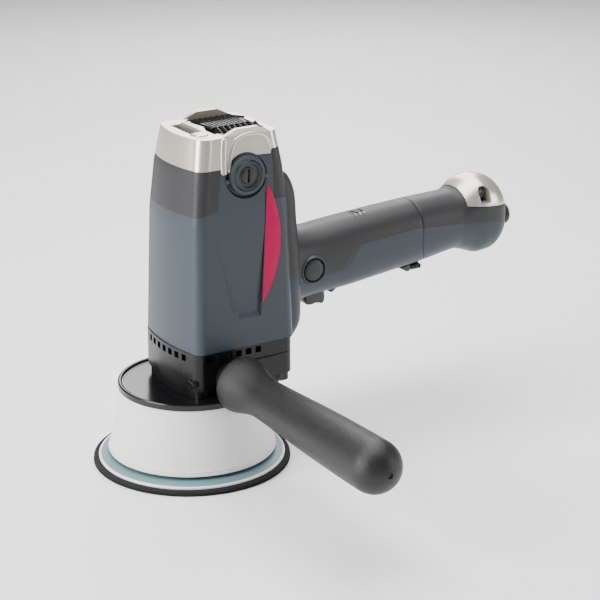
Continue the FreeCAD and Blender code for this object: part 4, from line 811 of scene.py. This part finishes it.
# %% Openings for the controls and screws
def rod_at(name, centre, radius, near, far, axis="Y"):
    return lathe(name, [(0, near), (radius, near), (radius, far), (0, far)], centre, axis, 48)


trigger_low, trigger_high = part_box("trigger")
TRIGGER = [v / MM for v in (*trigger_low, *trigger_high)]
LOCK = middle("lock_button")
DIAL = middle("speed_dial")
latch_low, latch_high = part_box("latch_button")
LATCH = [v / MM for v in (*latch_low, *latch_high)]
INLET_Z = middle("cord_inlet")[2]
print("trigger from x", round(TRIGGER[0], 1), "to", round(TRIGGER[3], 1))


def trigger_room():
    return box_at("room", (TRIGGER[0] - 0.6, -7.4, 78), (TRIGGER[3] + 0.6, 7.4, 104))


def lock_room():
    return rod_at("room", (LOCK[0], 0, LOCK[2]), 7.8, -26, -11)


def dial_room():
    return box_at("room", (DIAL[0] - 4.6, -2.7, DIAL[2]), (DIAL[0] + 4.6, 2.7, DIAL[2] + 14))


def latch_room():
    return box_at("room", (LATCH[0] - 0.5, -8.1, 86), (LATCH[3] + 0.5, 8.1, 104.8))


# %% Handle mouldings
SEAM_GAP = 0.2
front_rows = handle_rows(62, SEAM_X - SEAM_GAP)
rear_rows = handle_rows(SEAM_X + SEAM_GAP, 239.4)
lower = walled(handle_skin("handle_lower_shell", front_rows, 0, 0, False))
carve(lower, trigger_room(), lock_room(), latch_room(), rod_at("room", (142, 0, 107), 3.9, 16.4, 26))
hand_over(soften(lower, 0.35, 40), "housing", "body_slate", "handle_lower")
upper = walled(handle_skin("handle_upper_shell", front_rows, 1, 2, False))
carve(upper, lock_room(), dial_room(), rod_at("room", (146, 0, 134), 3.9, 13.4, 26))
hand_over(soften(upper, 0.35, 40), "housing", "body_charcoal", "handle_upper")

grip_low = walled(handle_skin("rear_grip_lower_shell", rear_rows, 0, 0, True))
carve(grip_low, rod_at("room", (0, 0, INLET_Z), 6.0, 229, 256, "X"))
hand_over(soften(grip_low, 0.35, 40), "rear_grip", "body_slate", "rear_grip_lower")
neck_rows = [row for row in rear_rows if row[0] <= END_CAP_X]
tail_rows = [row for row in rear_rows if row[0] >= END_CAP_X]
grip_top = handle_skin("rear_grip_upper_shell", neck_rows, 1, 2, False)
grip_side = handle_skin("grip_side", tail_rows, 1, 1, True)
with bpy.context.temp_override(active_object=grip_top, selected_editable_objects=[grip_top, grip_side]):
    bpy.ops.object.join()
tidy_faces(grip_top.data)
walled(grip_top)
carve(grip_top, rod_at("room", (0, 0, INLET_Z), 6.0, 229, 256, "X"))
hand_over(soften(grip_top, 0.35, 40), "rear_grip", "body_charcoal", "rear_grip_upper")

# %% [markdown]
# The end cap stands a hair proud of the grip, with a crisp front edge.  A D-shaped pocket on each
# side holds one of the screws that fasten it.

# %% End cap
POCKET = (214.2, 141.0)


def pocket(sign, near=12.4, far=26, name="room"):
    rim = [(4.3 * math.cos(a), 1.9 + 4.3 * math.sin(a)) for a in (math.radians(15 * k) for k in range(13))]
    outline = [(POCKET[0] + u, POCKET[1] + v) for u, v in rim + [(-3.9, -4.4), (3.9, -4.4)]]
    return slab(name, outline, sign * near, sign * far)


end_cap = handle_skin("end_cap_shell", tail_rows, 2, 2, True)
for vertex in end_cap.data.vertices:
    vertex.co.z += 0.0005
    vertex.co.y *= 1.02
walled(end_cap, 7.5)
carve(end_cap, pocket(-1), pocket(1))
hand_over(soften(end_cap, 0.6, 34, 3), "rear_grip", "cap_champagne", "end_cap")
for sign, side_name in SIDES:
    plug = pocket(sign, 11.4, 12.7, "pocket_floor_" + side_name)
    hand_over(soften(plug, 0.2), "rear_grip", "body_charcoal")
    head = [(0, 12), (2.7, 12), (2.7, 13.6), (2.3, 14), (1.5, 14), (1.4, 13.2), (0, 13.2)]
    screw = lathe("pocket_screw_" + side_name, head, (POCKET[0], 0, POCKET[1] + 1), "Y", 48)
    if sign < 0:
        screw.data.transform(Matrix.Scale(-1, 4, Vector((0, 1, 0))))
        tidy_faces(screw.data)
    hand_over(soften(screw, 0), "rear_grip", "screw_steel")

# %% [markdown]
# Behind the tower a rounded back, in the same two colours, carries the handle.  It is lofted from
# plan outlines whose rear edge follows the back's side view.

# %% Back of the motor housing
BACK = [(72.2, 60.5), (74, 63.0), (79, 67.0), (84, 69.3), (92, 69.9), (110.4, 69.9), (130, 68.6), (148, 67),
        (162, 66.1), (169, 65.2), (176, 62.8), (181, 59.6), (183, 56.5)]
BACK_HALF, BACK_CORNER = 25, 9


def back_shell(name, levels):
    """Back from plan outlines; levels are (height, rearmost x)."""
    rings = []
    for z, rear in levels:
        row = [(47, -BACK_HALF)]
        row += [(rear - BACK_CORNER * (1 - math.sin(a)), -BACK_HALF + BACK_CORNER * (1 - math.cos(a)))
                for a in (math.radians(9 * k) for k in range(11))]
        row += [(x, -y) for x, y in reversed(row)]
        rings.append([(x, y, z) for x, y in row])
    return loft(name, rings)


back_line = smooth_line(BACK, 3)
back_low = back_shell("back_lower_shell", [p for p in back_line if p[0] <= PARTING_Z + 0.01])
back_top = back_shell("back_upper_shell", [p for p in back_line if p[0] >= PARTING_Z - 0.01])
carve(back_low, rod_at("room", (61, 0, 92), 3.9, 23.8, 30), box_at("room", (40, -23, 74), (60, 23, 120)))
carve(back_top, rod_at("room", (61, 0, 150), 3.9, 23.8, 30), box_at("room", (40, -23, 100), (56, 23, 178)))
hand_over(soften(back_low, 0.5, 40), "housing", "body_slate")
hand_over(soften(back_top, 0.5, 40), "housing", "body_charcoal")

# %% [markdown]
# The controls are small, but a hand finds them by their shape: a hooked trigger, a domed lock
# button in a raised ring, a knurled speed dial and a ribbed latch.

# %% Trigger, lock button, dial and latch
a, b = TRIGGER[0], TRIGGER[3]
hook_line = [(a, TRIGGER[5]), (a, 89.4), (a + 0.6, 87.4), (a + 2.2, 86.0), (a + 5, 85.6), (a + 8, 86.2),
             (a + 10.5, 86.0), (a + 12.7, 85.1), (a + 14.2, 85.4), (b - 0.5, 87.0), (b - 0.1, 89.5),
             (b - 0.5, 93), (b, TRIGGER[5])]
trigger = slab("trigger_lever", hook_line, -6.8, 6.8)
hand_over(soften(trigger, 1.3, 40, 3), "trigger", "control_black", "trigger")
dome = [(0, -13), (7.0, -13), (7.3, -13.4), (7.3, -20.2), (6.9, -20.9), (6.2, -21.3), (4, -21.6), (0, -21.7)]
lock = lathe("lock_button_dome", dome, (LOCK[0], 0, LOCK[2]), "Y", 72)
hand_over(soften(lock, 0), "lock_button", "body_charcoal", "lock_button")
rim = [(7.85, -17.5), (9.6, -17.5), (9.5, -20.6), (9.0, -21.4), (8.3, -21.4), (7.85, -20.9)]
lock_ring = lathe("lock_ring", rim, (LOCK[0], 0, LOCK[2]), "Y", 72)
hand_over(soften(lock_ring, 0), "housing", "body_slate")
DIAL_RIDGES, RIDGE_R, GROOVE_R = 26, 8.2, 7.65
knurl = []
for k in range(2 * DIAL_RIDGES):
    angle, radius = math.pi * k / DIAL_RIDGES, RIDGE_R if k % 2 else GROOVE_R
    knurl.append((DIAL[0] + radius * math.cos(angle), DIAL[2] + radius * math.sin(angle)))
dial = slab("dial_wheel", knurl, -2.5, 2.5)
hand_over(soften(dial, 0.25), "speed_dial", "control_black", "speed_dial")
marks = grown("dial_marks", BARS, (DIAL[0] - 4.0, -5.6, 140.75), Count=3, Pitch=mm(3.4, 0, 0.24),
              Bar=mm(0.45, 1.9, 0.5), Turn=(0.32, 0, 0), Finish=looks["pad_edge_white"])
hand_over(soften(marks, 0), "housing", "pad_edge_white")
key = box_at("latch_key", (LATCH[0], -4.6, LATCH[2] + 0.8), (LATCH[3], 4.6, LATCH[5]))
wing = box_at("latch_wing", (LATCH[0], -7.6, LATCH[2] + 0.8), (LATCH[3], 7.6, LATCH[2] + 3.1))
hand_over(soften(wing, 0.5), "latch_button", "control_black")
ribs = grown("latch_ribs", BARS, (LATCH[0] + 1.0, 0, LATCH[2] + 1.5), Count=5, Pitch=mm(1.62, 0, 0),
             Bar=mm(0.8, 16.2, 2.8), Turn=(0, 0, 0), Finish=looks["control_black"])
bump = slab("latch_bump", [(LATCH[0] - 8.6, 98.6), (LATCH[0] - 3.4, 95.4), (LATCH[0] - 0.6, 95.4),
                           (LATCH[0] - 0.6, 100)], -8.2, 8.2)
hand_over(soften(bump, 0.6), "housing", "body_slate")
nose = [(b + 0.8, 96.4), (b + 1.6, 93.0), (b + 3.4, 92.4), (b + 9.4, 96.4), (b + 9.4, 99)]
guard = slab("trigger_guard_fairing", nose, -9.6, 9.6)
hand_over(soften(guard, 0.9), "housing", "body_slate")
hand_over(soften(key, 0.5), "latch_button", "control_black", "latch_button")
hand_over(soften(ribs, 0.2), "latch_button", "control_black")
collar = [(4.1, 229.2), (7.4, 229.2), (7.4, 231), (5.7, 231), (5.7, 241.8), (7.0, 242.1), (7.3, 242.7),
          (7.2, 244.8), (6.7, 245.4), (5.0, 245.5), (4.1, 244.9)]
inlet = lathe("inlet_collar", collar, (0, 0, INLET_Z), "X", 72)
hand_over(soften(inlet, 0), "rear_grip", "control_black", "cord_inlet")

# %% [markdown]
# The brush caps are screwed in with a coin.  Each is a shallow dish with a raised rim and a slot
# across a round centre.  The frame's caps give the place and size.

# %% Brush caps
CAP_FACE = 33.1
CAP_PROFILE = [(0, 6.3), (4.9, 6.3), (4.9, 4), (9.4, 4), (9.5, 0.6), (9.1, 0.1), (8.3, 0), (7.7, 0.2),
               (7.3, 1.1), (5.2, 1.2), (4.7, 0.4), (0, 0.3)]
for sign, side_name in SIDES:
    face = sign * CAP_FACE
    cap_disc = lathe("brush_cap_disc_" + side_name, [(r, face - depth * sign) for r, depth in CAP_PROFILE],
                     (MOTOR_X, 0, BRUSH_Z), "Y", 96)
    near, far = sorted((face - 1.6 * sign, face + 1 * sign))
    carve(cap_disc, box_at("room", (MOTOR_X - 0.75, near, BRUSH_Z - 4.2),
                           (MOTOR_X + 0.75, far, BRUSH_Z + 4.2)))
    hand_over(soften(cap_disc, 0.15, 50), "brush_cap_" + side_name, "brush_cap_black",
              "brush_cap_" + side_name)

# %% [markdown]
# The gear case is a black enamelled casting.  The frame has its walls, bosses and vent slots.
# A raised ledge on each side and a lug at the front corner by the side grip finish it.

# %% Gear case
case = merged_copy("gear_case", "gear_case_casting", flat=0)
hand_over(soften(case, 0.3, 40, even=True), "housing", "case_black", "gear_case")
for sign, side_name in SIDES:
    near, far = sorted((sign * 32.6, sign * 33.9))
    ledge = box_at("case_ledge_" + side_name, (25, near, 68.4), (52, far, 69.4))
    hand_over(soften(ledge, 0.3), "housing", "case_black")
lug = box_at("case_lug_left", (-16.6, -32.0, 58.8), (-9.0, -25.5, 62.4))
hand_over(soften(lug, 0.5), "housing", "case_black")

# %% [markdown]
# The floor is pale and plain.  One large soft light stands on the left, where it draws a long
# highlight down the front of the tower, with a weaker one on the right, one above and a rim light.

# %% Floor, lights and camera
FLOOR = 4000
floor = shape("floor", [(-FLOOR, -FLOOR, 0), (FLOOR, -FLOOR, 0), (FLOOR, FLOOR, 0), (-FLOOR, FLOOR, 0)],
              [(0, 1, 2, 3)])
paper = finish("Pale floor", ((0.86, 0.86, 0.86), (0.88, 0.88, 0.88)), (0.6, 0.7), scale=300, depth=0.01)
floor.data.materials.append(paper)


def soft_light(name, place, aim, size, power):
    lamp = bpy.data.lights.new(name, "AREA")
    lamp.shape = "RECTANGLE"
    lamp.size, lamp.size_y = size
    lamp.energy = power
    holder = bpy.data.objects.new(name, lamp)
    bpy.context.scene.collection.objects.link(holder)
    holder.location = place
    holder.rotation_euler = (Vector(aim) - Vector(place)).to_track_quat("-Z", "Y").to_euler()


AIM = (0.06, -0.02, 0.11)
soft_light("front left softbox", (-1.25, 0.05, 0.55), AIM, (0.7, 1.1), 34)
soft_light("right softbox", (1.15, -0.95, 0.45), AIM, (0.5, 0.8), 8)
soft_light("top softbox", (0.05, 0.15, 1.25), AIM, (1.4, 1.2), 36)
soft_light("rear rim light", (0.7, 0.95, 0.75), AIM, (0.6, 0.9), 9)
world = bpy.data.worlds.new("Pale room")
bpy.context.scene.world = world
world.use_nodes = True
world.node_tree.nodes["Background"].inputs["Color"].default_value = (1, 1, 1, 1)
world.node_tree.nodes["Background"].inputs["Strength"].default_value = 0.22

camera_data = bpy.data.cameras.new("camera")
camera_data.sensor_width = 36
camera_data.lens = 120.9
camera_data.clip_start, camera_data.clip_end = 0.05, 20
camera = bpy.data.objects.new("camera", camera_data)
bpy.context.scene.collection.objects.link(camera)
camera.location = (-0.5741, -1.0335, 0.5236)
AZIMUTH, ELEVATION = math.radians(-32.38), math.radians(19.59)
back = Vector((math.sin(AZIMUTH) * math.cos(ELEVATION), -math.cos(AZIMUTH) * math.cos(ELEVATION),
               math.sin(ELEVATION)))
camera.rotation_euler = (-back).to_track_quat("-Z", "Y").to_euler()
bpy.context.scene.camera = camera
